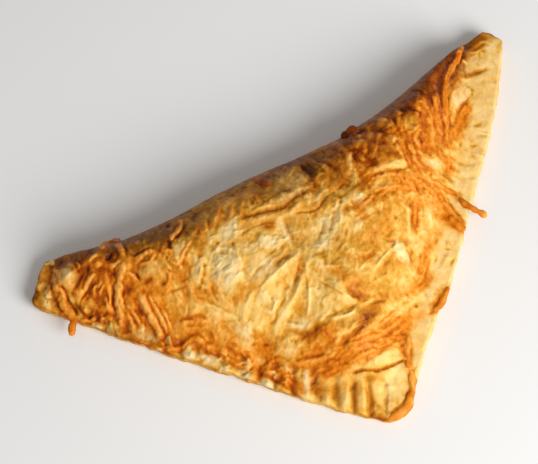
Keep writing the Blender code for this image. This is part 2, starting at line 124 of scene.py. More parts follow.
# Width of the flat flange against the share of the way along its seam.
LEFT_FLANGE = ((0.0, 0.5, 0.85, 1.0), (5.0, 6.5, 11.0, 13.0))
RIGHT_FLANGE = ((0.0, 0.2, 0.6, 0.85, 1.0), (11.0, 8.5, 10.0, 14.0, 10.0))

# Width of the rolled fold and of the filling's side over a seam, how square the roll is, and over what
# height the flange, the two seams and the fold run into each other.
FOLD_ROLL = 34.0
SEAM_RISE = 36.0
ROLL_SQUARENESS = 2.4
FLANGE_BLEND = 2.0
SEAM_BLEND = 6.0
FOLD_BLEND = 4.0

# Broad lumps of the filling: their size and height, and the heights between which they set in.
LUMPS = ((17.0, 0.8), (7.0, 0.6))
LUMPS_SET_IN = (8.0, 16.0)

# Fork marks: their spacing, how far and over what length they drift, how narrow they are, where they end
# as a share of the flange, how uneven they are, and how they fade at the tips. For each seam: how deep,
# how far along the first lies, how slanted, the stretch next to the front corner over which they fade
# out, and that over which they get weaker.
TINE_PITCH = 6.8
TINE_DRIFT = 1.2
TINE_DRIFT_LENGTH = 5.3
GROOVE_NARROWNESS = 2.2
GROOVE_END = (0.75, 1.25)
CRIMP_UNEVENNESS = 0.25
CRIMP_WAVES = (30.0, 76.0)
TIP_FADE = (12.0, 26.0)
LEFT_CRIMPS = {"depth": 1.8, "first": 2.8, "slant": 0.34, "fade": (5.0, 10.0), "weaker": (30.0, 60.0)}
RIGHT_CRIMPS = {"depth": 0.4, "first": 3.0, "slant": 0.35, "fade": (12.0, 24.0), "weaker": (30.0, 60.0)}


def smoothstep(low, high, value):
    """0 below low, 1 above high and an S-curve between them."""
    share = np.clip((np.asarray(value, float) - low) / (high - low), 0.0, 1.0)
    return share * share * (3.0 - 2.0 * share)


def smooth_min(a, b, softness):
    """The lesser of a and b, with the crease between them rounded off."""
    mix = np.clip(0.5 + 0.5 * (b - a) / softness, 0.0, 1.0)
    return b + (a - b) * mix - softness * mix * (1.0 - mix)


def arc_lengths(line):
    """How far along a line of points each of them lies."""
    return np.concatenate([[0.0], np.cumsum(np.linalg.norm(np.diff(line, axis=0), axis=1))])


def distance_and_arc(points, line):
    """How far each point is from a line of points, and how far along the line the nearest place is."""
    start, step = line[:-1], np.diff(line, axis=0)
    lengths = np.linalg.norm(step, axis=1)
    arcs = arc_lengths(line)
    gaps, along = [], []
    for part in np.array_split(points, max(1, len(points) // 4000)):
        offset = part[:, None, :] - start[None]
        share = np.clip((offset * step).sum(2) / lengths**2, 0.0, 1.0)
        distance = np.linalg.norm(offset - share[..., None] * step, axis=2)
        nearest = distance.argmin(1)
        rows = np.arange(len(part))
        gaps.append(distance[rows, nearest])
        along.append(arcs[nearest] + share[rows, nearest] * lengths[nearest])
    return np.concatenate(gaps), np.concatenate(along)


def noise_at(points, size, seed):
    """Smooth noise between about -1 and 1 over the plan, with lumps of the given size."""
    shift = Vector((seed * 17.3, seed * 5.1, seed * 9.7))
    return np.array([noise.noise(Vector((x / size, y / size, 0.0)) + shift) for x, y in points]) * 1.6


def fold_roll(distance):
    """Height of the rolled fold: steep at the edge and level where it meets the top of the dome."""
    share = np.clip(1.0 - distance / FOLD_ROLL, 0.0, 1.0)
    return FOLD_BULGE_HEIGHT + (DOME_HEIGHT - FOLD_BULGE_HEIGHT) * np.sqrt(1.0 - share**ROLL_SQUARENESS)


def seam_rise(distance, flange):
    """Height over a seam: the flat pressed flange, then the side of the filling."""
    beyond = distance - flange
    beyond = 0.5 * (beyond + np.sqrt(beyond**2 + FLANGE_BLEND**2))
    share = np.clip(1.0 - beyond / SEAM_RISE, 0.0, 1.0)
    return FLANGE_HEIGHT + (DOME_HEIGHT - FLANGE_HEIGHT) * (1.0 - share**2)


def groove_share(distance, arc, from_corner, length, flange, marks):
    """1 at the bottom of the fork's grooves and 0 between them; they fade out at the filling."""
    pitch = length / round(length / TINE_PITCH)
    drift = TINE_DRIFT * np.sin(arc / TINE_DRIFT_LENGTH)
    from_first = arc + drift + marks["slant"] * distance - marks["first"]
    wave = 0.5 + 0.5 * np.cos(2 * math.pi * from_first / pitch)
    across = 1.0 - smoothstep(GROOVE_END[0] * flange, GROOVE_END[1] * flange, distance)
    within = smoothstep(*marks["fade"], from_corner) * smoothstep(*TIP_FADE, length - from_corner)
    return wave**GROOVE_NARROWNESS * across * within * (1.0 - 0.5 * smoothstep(*marks["weaker"], from_corner))


def groove_depth(arc, share, marks):
    """Depth of the grooves, uneven along the seam."""
    short_wave, long_wave = (np.sin(2 * math.pi * arc / wave_length + 1.0) for wave_length in CRIMP_WAVES)
    return marks["depth"] * (1.0 - CRIMP_UNEVENNESS * (1.0 - short_wave * long_wave)) * share


class Plan:
    """Places over the plan, with their distances to the fold and the seams."""

    def __init__(self, points):
        self.points = np.atleast_2d(np.asarray(points, float))
        self.from_fold, _ = distance_and_arc(self.points, FOLD)
        self.from_left, self.along_left = distance_and_arc(self.points, LEFT_SEAM)
        self.from_right, self.along_right = distance_and_arc(self.points, RIGHT_SEAM)
        left_length, right_length = arc_lengths(LEFT_SEAM)[-1], arc_lengths(RIGHT_SEAM)[-1]
        self.left_flange = np.interp(self.along_left / left_length, *LEFT_FLANGE)
        self.right_flange = np.interp(self.along_right / right_length, *RIGHT_FLANGE)
        self.left_to_corner = left_length - self.along_left
        self.left_grooves = groove_share(
            self.from_left, self.along_left, self.left_to_corner, left_length, self.left_flange, LEFT_CRIMPS
        )
        self.right_grooves = groove_share(
            self.from_right, self.along_right, self.along_right, right_length, self.right_flange, RIGHT_CRIMPS
        )


def body_height(plan):
    """Height of the filled and crimped body, before its flakes and wrinkles."""
    height = smooth_min(
        seam_rise(plan.from_left, plan.left_flange), seam_rise(plan.from_right, plan.right_flange), SEAM_BLEND
    )
    height = smooth_min(height, fold_roll(plan.from_fold), FOLD_BLEND)
    raised = smoothstep(*LUMPS_SET_IN, height)
    for seed, (size, lump_height) in enumerate(LUMPS, start=1):
        height = height + raised * lump_height * noise_at(plan.points, size, seed)
    height = height - groove_depth(plan.along_left, plan.left_grooves, LEFT_CRIMPS)
    return height - groove_depth(plan.along_right, plan.right_grooves, RIGHT_CRIMPS)


# ------------------------------------------------------------------------------------------------------
# The cut edges. The two open sides were cut with a knife and pressed with the fork, so their edge is a
# little ragged. At the fold the sheet is only bent round and its edge is smooth.
# ------------------------------------------------------------------------------------------------------

# Spacing of the points along the edge, how far the cut edge lies in from the smooth one, on average and
# at most, and how far from the cuts the edge has become that of the fold.
EDGE_SPACING = 0.42
EDGE_INSET = 0.3
MOST_INSET = 1.2
CUT_REACH = 10.0


def resample(line, spacing):
    """The line as evenly spaced points, without its last point."""
    arcs = arc_lengths(line)
    places = np.linspace(0.0, arcs[-1], round(arcs[-1] / spacing) + 1)[:-1]
    return np.stack([np.interp(places, arcs, line[:, k]) for k in range(2)], 1)


def outward_normals(loop):
    """The level direction out of the puff at each point of the edge."""
    along = np.roll(loop, -3, 0) - np.roll(loop, 3, 0)
    normals = np.stack([along[:, 1], -along[:, 0]], 1)
    return normals / np.linalg.norm(normals, axis=1)[:, None]


def from_cuts(points):
    """Distance to the nearer of the two cut sides."""
    return np.minimum(distance_and_arc(points, LEFT_SEAM)[0], distance_and_arc(points, RIGHT_SEAM)[0])


def ragged_outline():
    """The puff's edge: smooth along the fold, and a little ragged where the sheets were cut."""
    smooth = np.concatenate([resample(side, EDGE_SPACING) for side in (LEFT_SEAM, RIGHT_SEAM, FOLD)])
    inset = EDGE_INSET + 0.35 * noise_at(smooth, 6.0, 71) + 0.3 * noise_at(smooth, 2.4, 72)
    inset = np.clip(inset, 0.0, MOST_INSET) * (1.0 - 0.7 * smoothstep(0.0, CUT_REACH, from_cuts(smooth)))
    return smooth - outward_normals(smooth) * inset[:, None]


def inside(points, loop):
    """Which points lie within a closed loop."""
    after = np.roll(loop, -1, 0)
    found = []
    for part in np.array_split(points, max(1, len(points) // 4000)):
        x, y = part[:, :1], part[:, 1:]
        crosses = (loop[:, 1] > y) != (after[:, 1] > y)
        slope = (after[:, 0] - loop[:, 0]) / (after[:, 1] - loop[:, 1] + 1e-12)
        found.append((crosses & (x < loop[:, 0] + slope * (y - loop[:, 1]))).sum(1) % 2 == 1)
    return np.concatenate(found)


OUTLINE = ragged_outline()

# ------------------------------------------------------------------------------------------------------
# Flakes, ridges and creases of the upper sheet. Steam lifts the thin outer leaves of the dough, which
# crack into flakes and buckle into sharp small ridges. Places are millimetres on the plan.
# ------------------------------------------------------------------------------------------------------

# Flakes that lie proud: middle x, y, heading, length, width and lift.
FLAKES = (
    (-4, 31, 3, 17, 13, 0.9),
    (33, 24, -8, 11, 9, 0.8),
    (-10, -20, -8, 13, 6, 1.2),
    (-1, -36, -2, 13, 4.5, 1.0),
    (-36, 14.5, 60, 12, 9, 0.7),
    (-39, -5, -60, 9, 5, 0.8),
    (-30, -17, -40, 8, 5, 0.7),
    (20, -7.2, -100, 6, 5, 1.0),
    (-84, 41, -60, 10, 6, 0.8),
    (71, 36, 42, 13, 6, 0.7),
    (-82, 30, 20, 5, 4, 0.7),
    (-58, 27, -30, 10, 5, 0.6),
    (-45, 19, 50, 9, 4.5, 0.7),
    (-47, 28, 60, 7, 4, 0.5),
    (-19, 15, -35, 8, 5, 0.7),
    (38.5, 35, -75, 7, 4.5, 0.8),
    (47, 32, -60, 7, 6, 0.6),
    (5.5, 18, 15, 6, 4, 0.6),
)

# How ragged a flake's edge is, how thick it is, and where it steps down as a share of its size.
FLAKE_RAGGEDNESS = 0.22
FLAKE_THICKNESS = 0.55
FLAKE_STEP = (0.80, 1.15)

# Ridges (+) and creases (-), traced one by one: width, rise, browning, cheese and the places they pass.
# The pale browning of ridges and the dark browning of creases are partly painted light and painted shade.
FOLDS = (
    # Dents of the crimps on the right flange and the folds in its tip.
    (2.8, -0.4, 0.32, 0.5, ((77.5, 43.6), (80.5, 42.8), (84, 42.2), (87, 41.8))),
    (1.8, -0.4, 0.42, 0.3, ((69.6, 25.6), (72.6, 24.6), (75.4, 24.2))),
    (2.0, -0.4, 0.38, 0.3, ((64.6, 19.6), (67.4, 18), (70, 16.4))),
    (1.6, -0.4, 0.50, 0.4, ((84, 50), (87, 50.4), (90, 51.2), (93, 51.4))),
    (1.2, 0.4, 0.16, 0.2, ((90, 53), (92.6, 51.6), (94.4, 49.4))),
    (1.4, -0.4, 0.46, 0.3, ((95.6, 54.4), (97, 52.4), (97.6, 50))),
    # The star of ridges in the middle, and the folds round it.
    (3.6, 1.1, 0.10, 0.1, ((-14, 1), (-17, -2), (-21, -5), (-25, -7), (-29.5, -8.6))),
    (2.2, -0.9, 0.42, 0.4, ((-13.6, 4.6), (-15.5, 2.6), (-18, 0), (-21, -1.8))),
    (1.8, 0.9, 0.06, 0.0, ((-14.4, -2.6), (-16, -6), (-17.6, -9), (-19.4, -11.4), (-21.4, -13.4))),
    (1.2, -0.5, 0.34, 0.2, ((-14.2, 0), (-15.4, -3.4), (-16.8, -6.4))),
    (1.4, 0.8, 0.10, 0.0, ((-12, -1.4), (-10.2, -5.6), (-8.6, -8.6), (-6.8, -11.6), (-3.4, -17))),
    (0.9, -0.5, 0.42, 0.1, ((-11.4, -4), (-9.6, -7.6), (-7.8, -10.8), (-6, -13.4))),
    (2.6, 0.8, 0.12, 0.2, ((-10.6, 0.4), (-7.6, -1.2), (-4.4, -3), (-1, -3.8))),
    (1.2, 0.5, 0.08, 0.0, ((-13, 2.6), (-12.8, 0.4), (-12.6, -1.6))),
    (3.0, 0.9, 0.12, 0.15, ((-31, 2), (-26, 3.6), (-21, 5), (-15.5, 6.4), (-11, 6.6))),
    (1.8, -0.7, 0.40, 0.3, ((-22.5, 6.6), (-18.4, 8), (-14.6, 8.2))),
    (1.4, -0.4, 0.38, 0.2, ((-31, 7.4), (-27.4, 8.8), (-24, 9.6))),
    (1.6, -0.6, 0.36, 0.2, ((-18, 11.4), (-15, 12.4))),
    (2.8, -0.4, 0.40, 0.4, ((-5.2, -7.4), (-4.2, -11), (-2.4, -14), (0.4, -15.6))),
    (2.4, -0.5, 0.36, 0.2, ((-10, 3.2), (-6.4, 3.6), (-2.6, 3))),
    (1.3, -0.7, 0.48, 0.1, ((-33, -7), (-30, -7.6), (-28.4, -6), (-26.8, -5), (-25, -4.2), (-23, -3.4))),
    (2.0, 0.7, 0.05, 0.0, ((-33.5, -2), (-31.4, -3.6), (-29.6, -5), (-28, -4), (-26.2, -2.8),
                           (-24.6, -2.4))),
    (1.2, 0.5, 0.14, 0.0, ((-28, -9.4), (-25.4, -11.8), (-22.6, -14.4))),
    (0.9, -0.4, 0.40, 0.0, ((-27, -9.2), (-24.4, -11.6), (-22, -13.6))),
    (1.0, -0.4, 0.38, 0.1, ((-29.5, -10.6), (-27, -12.6), (-24, -15))),
    (2.4, -0.5, 0.42, 0.0, ((-24, -0.4), (-22, -0.8), (-20.4, 0.4))),
    (2.6, 0.5, 0.05, 0.0, ((-7, 4.6), (-3.6, 6), (-0.6, 7))),
    (1.2, 0.4, 0.14, 0.0, ((0, 0.6), (2, 2), (4.4, 1.8))),
    (1.2, 0.4, 0.16, 0.0, ((1, -1), (3.4, 0), (5.4, -0.6))),
    (1.2, 0.5, 0.06, 0.0, ((-9.8, 9.4), (-9.6, 6))),
    # The frayed blister in front of the star, and the dark valley under it, its darkness partly painted
    # shade.
    (1.3, 0.9, 0.02, 0.0, ((-14.4, -17.4), (-11.4, -18.2), (-8.4, -19), (-6, -19), (-4.6, -17.6))),
    (1.3, 0.8, 0.06, 0.0, ((-15.2, -21.6), (-13.2, -22.8), (-11.6, -23), (-10, -23.6), (-8, -22.6),
                           (-5.8, -22.4))),
    (3.0, -1.0, 0.54, 0.4, ((-13.5, -25), (-9, -25), (-5, -23.6), (-2, -21.8), (1, -20.2))),
    (1.0, -0.7, 0.58, 0.2, ((0, -18.9), (3, -18.9), (7, -19.5))),
    (1.6, 0.7, 0.08, 0.1, ((-2.4, -17), (0.6, -18), (4.4, -17.4))),
    (3.0, -0.5, 0.48, 0.3, ((-22, -15.2), (-19, -17), (-16.4, -19))),
    (1.0, 0.5, 0.10, 0.0, ((-18, -14.6), (-16.6, -15.4), (-15.6, -16.6))),
    # Right of the middle, down to the right flange.
    (1.4, 0.7, 0.12, 0.0, ((21, -4.6), (17, -5.4), (12.4, -7), (8, -9))),
    (2.2, -0.6, 0.40, 0.4, ((10, -9.6), (14, -8.6), (17, -9))),
    (1.2, -0.7, 0.44, 0.3, ((22, -5), (22.5, -8.6), (22, -12))),
    (1.4, -0.5, 0.45, 0.6, ((15, -0.8), (18, -2.8), (21.6, -2.8))),
    (2.4, -0.3, 0.36, 0.5, ((12.4, 2), (12, -1), (11.6, -3.6))),
    (1.6, 0.5, 0.14, 0.0, ((5.5, -2), (8, -3.4), (10.2, -2.8), (10.8, -0.8))),
    (2.6, -0.3, 0.38, 0.3, ((5, -4.4), (7.6, -4.4))),
    (1.4, 0.6, 0.10, 0.0, ((5, -10.6), (9, -8.8), (13, -7.4))),
    (1.6, 0.5, 0.12, 0.2, ((3, -13), (7, -12.8), (10, -12))),
    (1.2, -0.7, 0.50, 0.1, ((23, 2.8), (24.6, 4.6))),
    (1.4, -0.6, 0.30, 0.0, ((33.2, 0), (35.2, 2.6), (36.6, 5))),
    (2.2, 0.8, 0.02, 0.0, ((34.8, -4), (36.4, -1.4), (37.6, 2), (37.8, 5))),
    (2.0, 0.6, 0.08, 0.1, ((26, -3.4), (27.4, 0), (29, 3), (31, 6))),
    (1.4, 0.5, 0.10, 0.1, ((29, -3.6), (32, -3), (34.4, -4.4))),
    (1.6, 0.5, 0.20, 0.3, ((19.4, 6), (20.8, 8.6), (22.4, 10.6))),
    (1.2, -0.5, 0.38, 0.1, ((18, 5), (18.8, 8), (17.6, 10))),
    (3.4, 0.5, 0.0, 0.0, ((20.6, -5.2), (20.2, -7.6), (19, -9.4))),
    (1.6, 0.6, 0.10, 0.0, ((19.6, -11), (20.4, -14), (19, -16.6))),
    (1.0, -0.4, 0.30, 0.2, ((17.4, -11), (18, -15))),
    (1.2, -0.6, 0.45, 0.5, ((30, -14), (32, -12.6), (33.6, -10.4))),
    (1.0, -0.6, 0.50, 0.3, ((36.4, -10), (39, -12))),
    (1.6, -0.9, 0.55, 0.2, ((17.6, -22.6), (16.6, -25.2))),
    (2.2, -0.5, 0.48, 0.8, ((19.6, -18.4), (24, -17), (27.4, -13.6), (30.4, -10))),
    (2.4, -0.4, 0.42, 0.5, ((14.6, -19), (17, -21.4))),
    (1.6, 0.35, 0.02, 0.0, ((21.4, -22), (23.6, -25.4))),
    (1.6, 0.35, 0.02, 0.0, ((26, -18.6), (28.6, -22))),
    (1.6, 0.35, 0.02, 0.0, ((30.4, -15), (33.6, -18.6))),
    (1.6, 0.35, 0.02, 0.0, ((34.4, -12.4), (37.6, -15.6))),
    # Behind the star: the long step down from the flake on the fold, with a painted shadow along its foot,
    # and the panels under it.
    (2.4, -0.9, 0.66, 0.2, ((-26, 27.4), (-20, 26.6), (-15, 25.6), (-11, 24.4), (-9, 24.2), (-6, 24.8),
                            (-3, 25.5), (0, 25.3), (2.4, 24.6))),
    (3.2, 0.3, 0.22, 0.6, ((-25, 24.6), (-20, 24.4), (-15, 23.6), (-11, 22.4))),
    (1.8, -0.5, 0.42, 0.3, ((-29, 22), (-24, 22.4), (-19, 22.2), (-15, 21.8))),
    (1.3, 0.3, 0.10, 0.0, ((-21.4, 28), (-19, 27.4), (-16.4, 27.6), (-13, 26.6), (-10.6, 25.6))),
    (1.3, 0.25, 0.14, 0.0, ((-7, 26.6), (-3, 27.2), (1, 26.8), (3.6, 25.6))),
    (1.5, -0.7, 0.36, 0.2, ((-10.6, 21.6), (-11.4, 18), (-11.8, 14.6), (-12.2, 10.6))),
    (1.6, 0.5, 0.14, 0.2, ((-12.6, 21), (-13.2, 17), (-13.6, 13))),
    (1.6, 0.35, 0.14, 0.2, ((-9.6, 21.6), (-7, 21.6), (-4.4, 22.8), (-1.4, 24))),
    (1.2, -0.6, 0.50, 0.6, ((-7.6, 20.4), (-4.4, 19.6), (-2, 18.4), (1.4, 18), (4, 19.2), (7.4, 20.6))),
    (1.6, 0.35, 0.14, 0.2, ((0.6, 19.8), (3.6, 21.8), (7, 22.6), (11, 22.8))),
    (1.4, -0.7, 0.55, 0.3, ((8.4, 21.6), (8.6, 19.6))),
    (1.4, 0.6, 0.12, 0.1, ((4, 14.8), (6.4, 15.4), (8.4, 17.2), (9.8, 18.2))),
    (1.0, -0.5, 0.52, 0.2, ((8.2, 15.6), (9.8, 17))),
    (1.1, -0.4, 0.36, 0.1, ((3.4, 14.8), (6, 13.8))),
    (1.4, 0.5, 0.06, 0.0, ((4, 8), (5.8, 10.6), (7, 13.4))),
    (1.4, -0.5, 0.40, 0.1, ((3, 4), (5, 5.8), (6.4, 8.4))),
    (1.2, -0.5, 0.44, 0.1, ((-2.8, 9.6), (-1.6, 10.4))),
    (1.2, -0.5, 0.44, 0.1, ((0.4, 8.8), (1.6, 9.6))),
    (2.2, -0.9, 0.88, 0.1, ((4.4, 38.6), (5.2, 34), (5.4, 30.6), (4.8, 27.6))),
    (2.4, -0.5, 0.84, 0.1, ((7.4, 38), (7, 34), (6.4, 30))),
    (1.6, 0.5, 0.46, 0.1, ((9, 36.6), (9.4, 33.4))),
    (1.6, 0.5, 0.40, 0.1, ((8.6, 31), (11, 31.4), (13.4, 32.4))),
    (3.0, -0.5, 0.62, 0.5, ((12, 27.4), (14, 28.6), (15.6, 30.4))),
    (1.6, 0.5, 0.42, 0.2, ((4.4, 27), (8, 29), (11, 27.8))),
    (1.6, 0.5, 0.46, 0.0, ((17, 32.2), (19, 33.4))),
    (1.3, -0.5, 0.44, 0.2, ((9, 20.6), (12, 21.4), (15, 22.2))),
    # The pale oval flake left of the star, and the panels round it.
    (1.5, 0.3, 0.08, 0.0, ((-43, 15.6), (-41, 18.6), (-38, 21.2), (-34.6, 21.2), (-32, 19), (-31.2, 15),
                           (-32.4, 10.6), (-34.4, 8))),
    (1.2, 0.6, 0.02, 0.0, ((-40, 15.6), (-37.4, 16.8), (-35, 16.4))),
    (1.0, -0.5, 0.34, 0.0, ((-39.4, 14.4), (-36.6, 14.8), (-34, 14.8))),
    (1.6, 0.5, 0.02, 0.0, ((-39.6, 13), (-36.6, 13.2), (-33.6, 12.6))),
    (1.4, -0.5, 0.34, 0.1, ((-43.6, 17.6), (-41.6, 20.6))),
    (1.6, -0.6, 0.56, 0.5, ((-36, 23.4), (-33.8, 24))),
    (1.2, 0.6, 0.08, 0.0, ((-26.8, 28), (-25, 28.6), (-23.6, 28.2))),
    (1.4, 0.6, 0.02, 0.0, ((-27.2, 27), (-26.8, 24.6))),
    (1.8, 0.6, 0.02, 0.0, ((-29.8, 23.4), (-27.6, 24.2), (-26.4, 23))),
    (1.2, 0.5, 0.10, 0.0, ((-37, 26.6), (-35.2, 26.4), (-33.4, 25.8))),
    (1.3, -0.6, 0.46, 0.1, ((-30.4, 21.8), (-30.8, 19.4))),
    (1.8, -0.5, 0.36, 0.4, ((-31.4, 12.4), (-31.8, 9))),
    (1.0, -0.6, 0.48, 0.2, ((-56.4, 18.4), (-53, 17.5), (-50, 16.6))),
    (1.2, -0.6, 0.52, 0.2, ((-49, 15.6), (-47.2, 14), (-44.8, 15.8), (-43, 17.8), (-41.8, 20.2))),
    (1.3, 0.5, 0.14, 0.1, ((-53.8, 28.6), (-53.2, 25.6), (-52.4, 22.8))),
    (1.0, 0.5, 0.12, 0.0, ((-48.4, 9.4), (-46.4, 7.6), (-44.6, 5.4), (-42.8, 4))),
    (1.0, -0.4, 0.36, 0.1, ((-49.6, 12.6), (-46.4, 9), (-43.4, 4.4), (-41, 1.6))),
    (1.0, 0.4, 0.14, 0.0, ((-45, 3.6), (-42.6, 2), (-40.4, 0.2))),
    (0.9, -0.3, 0.34, 0.1, ((-46, 2.4), (-43.4, 0.6), (-41, -1))),
    (1.3, 0.5, 0.05, 0.0, ((-47.6, 15.2), (-46.2, 16), (-44.8, 17.6), (-43.4, 19.2), (-42.8, 21))),
    # The dark gaps between the strands at the left tip, their darkness partly painted shade, and the step
    # that bounds them at the fold.
    (1.4, -0.5, 0.64, 0.8, ((-90.6, 47.5), (-90.4, 44), (-91.4, 41), (-91.4, 37.5), (-91.2, 34),
                            (-90.6, 31.4))),
    (1.0, -0.6, 0.76, 0.7, ((-87, 42), (-87.4, 39), (-87.6, 36), (-87.2, 33), (-86.6, 30))),
    (1.6, -0.7, 0.76, 0.7, ((-86.4, 35.4), (-84.8, 37), (-82.2, 38), (-79.6, 39.4), (-77, 38.6))),
    (1.3, -0.5, 0.66, 0.8, ((-84.6, 32.8), (-82.4, 34.2), (-80, 34.4), (-77.6, 35), (-75.4, 35.4))),
    (1.3, -0.5, 0.68, 0.8, ((-86, 35), (-85.6, 32.4), (-85.2, 30), (-84.2, 27.8), (-81.6, 26.9))),
    (1.0, -0.5, 0.70, 0.8, ((-80.2, 32), (-79.4, 30), (-79.4, 28))),
    (1.0, -0.5, 0.68, 0.8, ((-77.6, 30.4), (-77.4, 28.4), (-78, 26.8))),
    (2.4, -1.1, 0.78, 0.8, ((-71.4, 32.6), (-73, 30), (-74.6, 27.2), (-75.4, 24), (-75.2, 20.6))),
    (1.4, -0.2, 0.50, 0.8, ((-75, 21), (-74.8, 18), (-74, 15.4))),
    (2.8, -1.5, 0.95, 0.7, ((-72, 37.8), (-70, 38.6), (-68, 39.6), (-66, 40.4))),
    (1.4, -0.8, 0.84, 0.5, ((-78.6, 39.4), (-76.6, 40), (-76, 41.8))),
    (4.0, -1.0, 0.70, 1.0, ((-68.8, 29.6), (-68.1, 27), (-68.4, 24.6))),
    (2.6, -0.8, 0.68, 1.0, ((-68, 22), (-67.7, 19.4), (-68, 17))),
    (1.2, -0.5, 0.58, 0.9, ((-67, 24), (-67, 19), (-66.8, 13), (-67.2, 8))),
    (1.1, -0.4, 0.52, 0.9, ((-64, 22), (-63.9, 17), (-63.8, 12), (-64.2, 8))),
    (0.9, -0.5, 0.58, 0.9, ((-62.2, 18), (-61.8, 13), (-62, 9))),
    (1.2, -0.8, 0.72, 0.8, ((-63.4, 31), (-63.5, 28), (-63.2, 25.4))),
    (1.2, -0.5, 0.58, 0.5, ((-62.5, 41.4), (-62.5, 37), (-62, 35), (-59.6, 34.2), (-56.6, 34),
                            (-54.6, 33),
                            (-53.2, 30.8), (-52.8, 28.4))),
    (1.8, -0.6, 0.66, 0.9, ((-63.8, 25.8), (-61, 25.1), (-58.6, 25))),
    (1.6, -0.5, 0.58, 0.7, ((-56, 23.2), (-57, 21.8), (-58.4, 21.6))),
    (1.2, -0.7, 0.62, 0.5, ((-52.6, 28), (-51.6, 27.8))),
    (1.6, -0.8, 0.78, 0.2, ((-40.4, 37.2), (-42.6, 34.8), (-46, 33), (-49.4, 31.6))),
    (3.0, -0.8, 0.86, 0.3, ((-47.4, 39.6), (-44.4, 38.4))),
    (1.2, -0.6, 0.60, 0.5, ((-81.4, 21.8), (-80.4, 20.8))),
    # Along the left seam: pale puffs between the fork marks, and dark pockets.
    (2.2, 0.7, 0.02, 0.0, ((-41.6, -21.2), (-41, -23.4), (-40.4, -25.4))),
    (2.4, 0.9, 0.06, 0.1, ((-26.6, -25.4), (-28.6, -27.4), (-30, -29.8))),
    (2.4, 0.6, 0.02, 0.0, ((-31, -31), (-31.4, -33), (-31.8, -35))),
    (2.4, 0.6, 0.04, 0.0, ((-61, -2.6), (-58.8, -1), (-57, 0.4))),
    (1.8, 0.5, 0.04, 0.0, ((-55.6, -4.6), (-54.6, -6.6))),
    (1.8, 0.5, 0.06, 0.0, ((-46.6, -16), (-46, -18))),
    (3.2, -0.4, 0.56, 0.8, ((-29, -31.4), (-26.6, -29.4), (-23.4, -28.6))),
    (1.6, -0.5, 0.58, 0.7, ((-27, -26.4), (-23, -27), (-18.6, -28.4))),
    (2.0, -0.5, 0.60, 0.7, ((-38.4, -21.6), (-37.2, -24.6), (-36.2, -27.4), (-35.4, -29.6))),
    (1.4, -0.5, 0.50, 0.8, ((-30.6, -20.6), (-26, -22.4), (-21.6, -24.2), (-18.6, -24.4))),
    (1.8, -0.4, 0.50, 0.7, ((-42, -18.6), (-38.6, -20.6))),
    (1.2, 0.5, 0.30, 0.1, ((-39.4, -23.6), (-37.8, -26.6), (-36.6, -29))),
    (1.4, -0.7, 0.60, 0.3, ((-41, -9.6), (-38.4, -9.8))),
    (2.4, 0.7, 0.02, 0.0, ((-40.6, -3), (-39, -5.6), (-37.4, -7.6))),
    (1.6, 0.4, 0.04, 0.0, ((-42.4, -2.6), (-41, -5.6), (-40.4, -8))),
    (3.4, 0.7, 0.08, 0.1, ((-32.4, -16), (-30, -17.6), (-27.8, -19.4))),
    (1.2, -0.6, 0.50, 0.2, ((-27.6, -16.4), (-26.4, -16.7))),
    (2.0, 0.5, 0.16, 0.2, ((-30, -13.6), (-26, -15.2), (-23.4, -16))),
    # The flap, the puffy pads and the fork's grooves at the front corner.
    (1.1, -1.2, 0.62, 0.5, ((-15.4, -34.2), (-12, -35), (-9, -36.6), (-6.4, -38), (-3, -38.3), (1, -38.2),
                            (4.4, -38.4))),
    (1.2, -0.3, 0.46, 0.7, ((11.4, -26.4), (7, -27.6), (3, -28.9), (-1, -29.6))),
    (1.0, -0.5, 0.48, 0.4, ((6.4, -30.4), (2.4, -31.9), (-2.4, -32.2), (-5.6, -31))),
    (1.2, -0.3, 0.46, 0.5, ((-8.8, -51.4), (-5, -51.2), (-2, -49.8), (0.2, -47.8))),
    (3.2, -0.6, 0.54, 0.4, ((-10.4, -40.6), (-12.4, -44), (-13.8, -47.6), (-14.4, -50))),
    (2.8, -0.5, 0.48, 0.4, ((-14.6, -36), (-17, -40), (-19.4, -44), (-21, -46))),
    (2.0, -0.5, 0.44, 0.3, ((-20.4, -32.6), (-23, -36.6), (-25.6, -40.6))),
    (1.8, -0.4, 0.42, 0.2, ((-26.8, -34), (-28.8, -38))),
    (4.6, 0.8, 0.05, 0.0, ((-13, -39), (-15, -43), (-17, -47.4))),
    (4.2, 0.8, 0.06, 0.0, ((-18.4, -37), (-20.6, -40.6), (-22.8, -44))),
    (3.4, 0.7, 0.14, 0.1, ((-24.8, -34.6), (-26.2, -37.6), (-27.4, -40))),
    (8.5, 0.9, 0.06, 0.0, ((-5, -42.4), (-6, -46))),
    (1.6, -0.2, 0.18, 0.1, ((-6.2, -44), (-7.2, -49))),
    (1.2, -0.3, 0.20, 0.0, ((-3.4, -42), (-1.4, -42.6))),
    # The right tip and flange.
    (2.0, -0.5, 0.44, 0.2, ((78, 43.2), (82, 43.4), (85, 42.4), (88, 41.8))),
    (1.6, -0.5, 0.55, 0.1, ((76.6, 36.2), (77.4, 35.8))),
    (1.1, -0.4, 0.34, 0.1, ((75.4, 40.6), (77.6, 39.2), (78.2, 37))),
    (1.0, 0.35, 0.22, 0.1, ((79, 36), (80.4, 32), (79.8, 27.6))),
    (1.1, -0.4, 0.36, 0.1, ((70, 25), (72, 24.2), (73.2, 22.4))),
    (1.2, -0.35, 0.26, 0.1, ((65, 20), (67, 17.6), (69.6, 16.6))),
    (1.2, -0.3, 0.26, 0.0, ((61.4, 20.8), (63, 20.2))),
    (1.0, 0.5, 0.08, 0.0, ((79.6, 49), (81, 47.8), (81.6, 46.4))),
    (1.6, -0.5, 0.50, 0.2, ((89, 49.6), (91.4, 48.6))),
    (1.0, -0.4, 0.40, 0.1, ((88.4, 50.4), (87.6, 48), (86.6, 45.8))),
    (5.0, -0.7, 0.80, 0.7, ((76.6, 51.4), (71.4, 47.8), (67.2, 44), (64.2, 39.8), (62, 35.6),
                            (60.2, 31))),
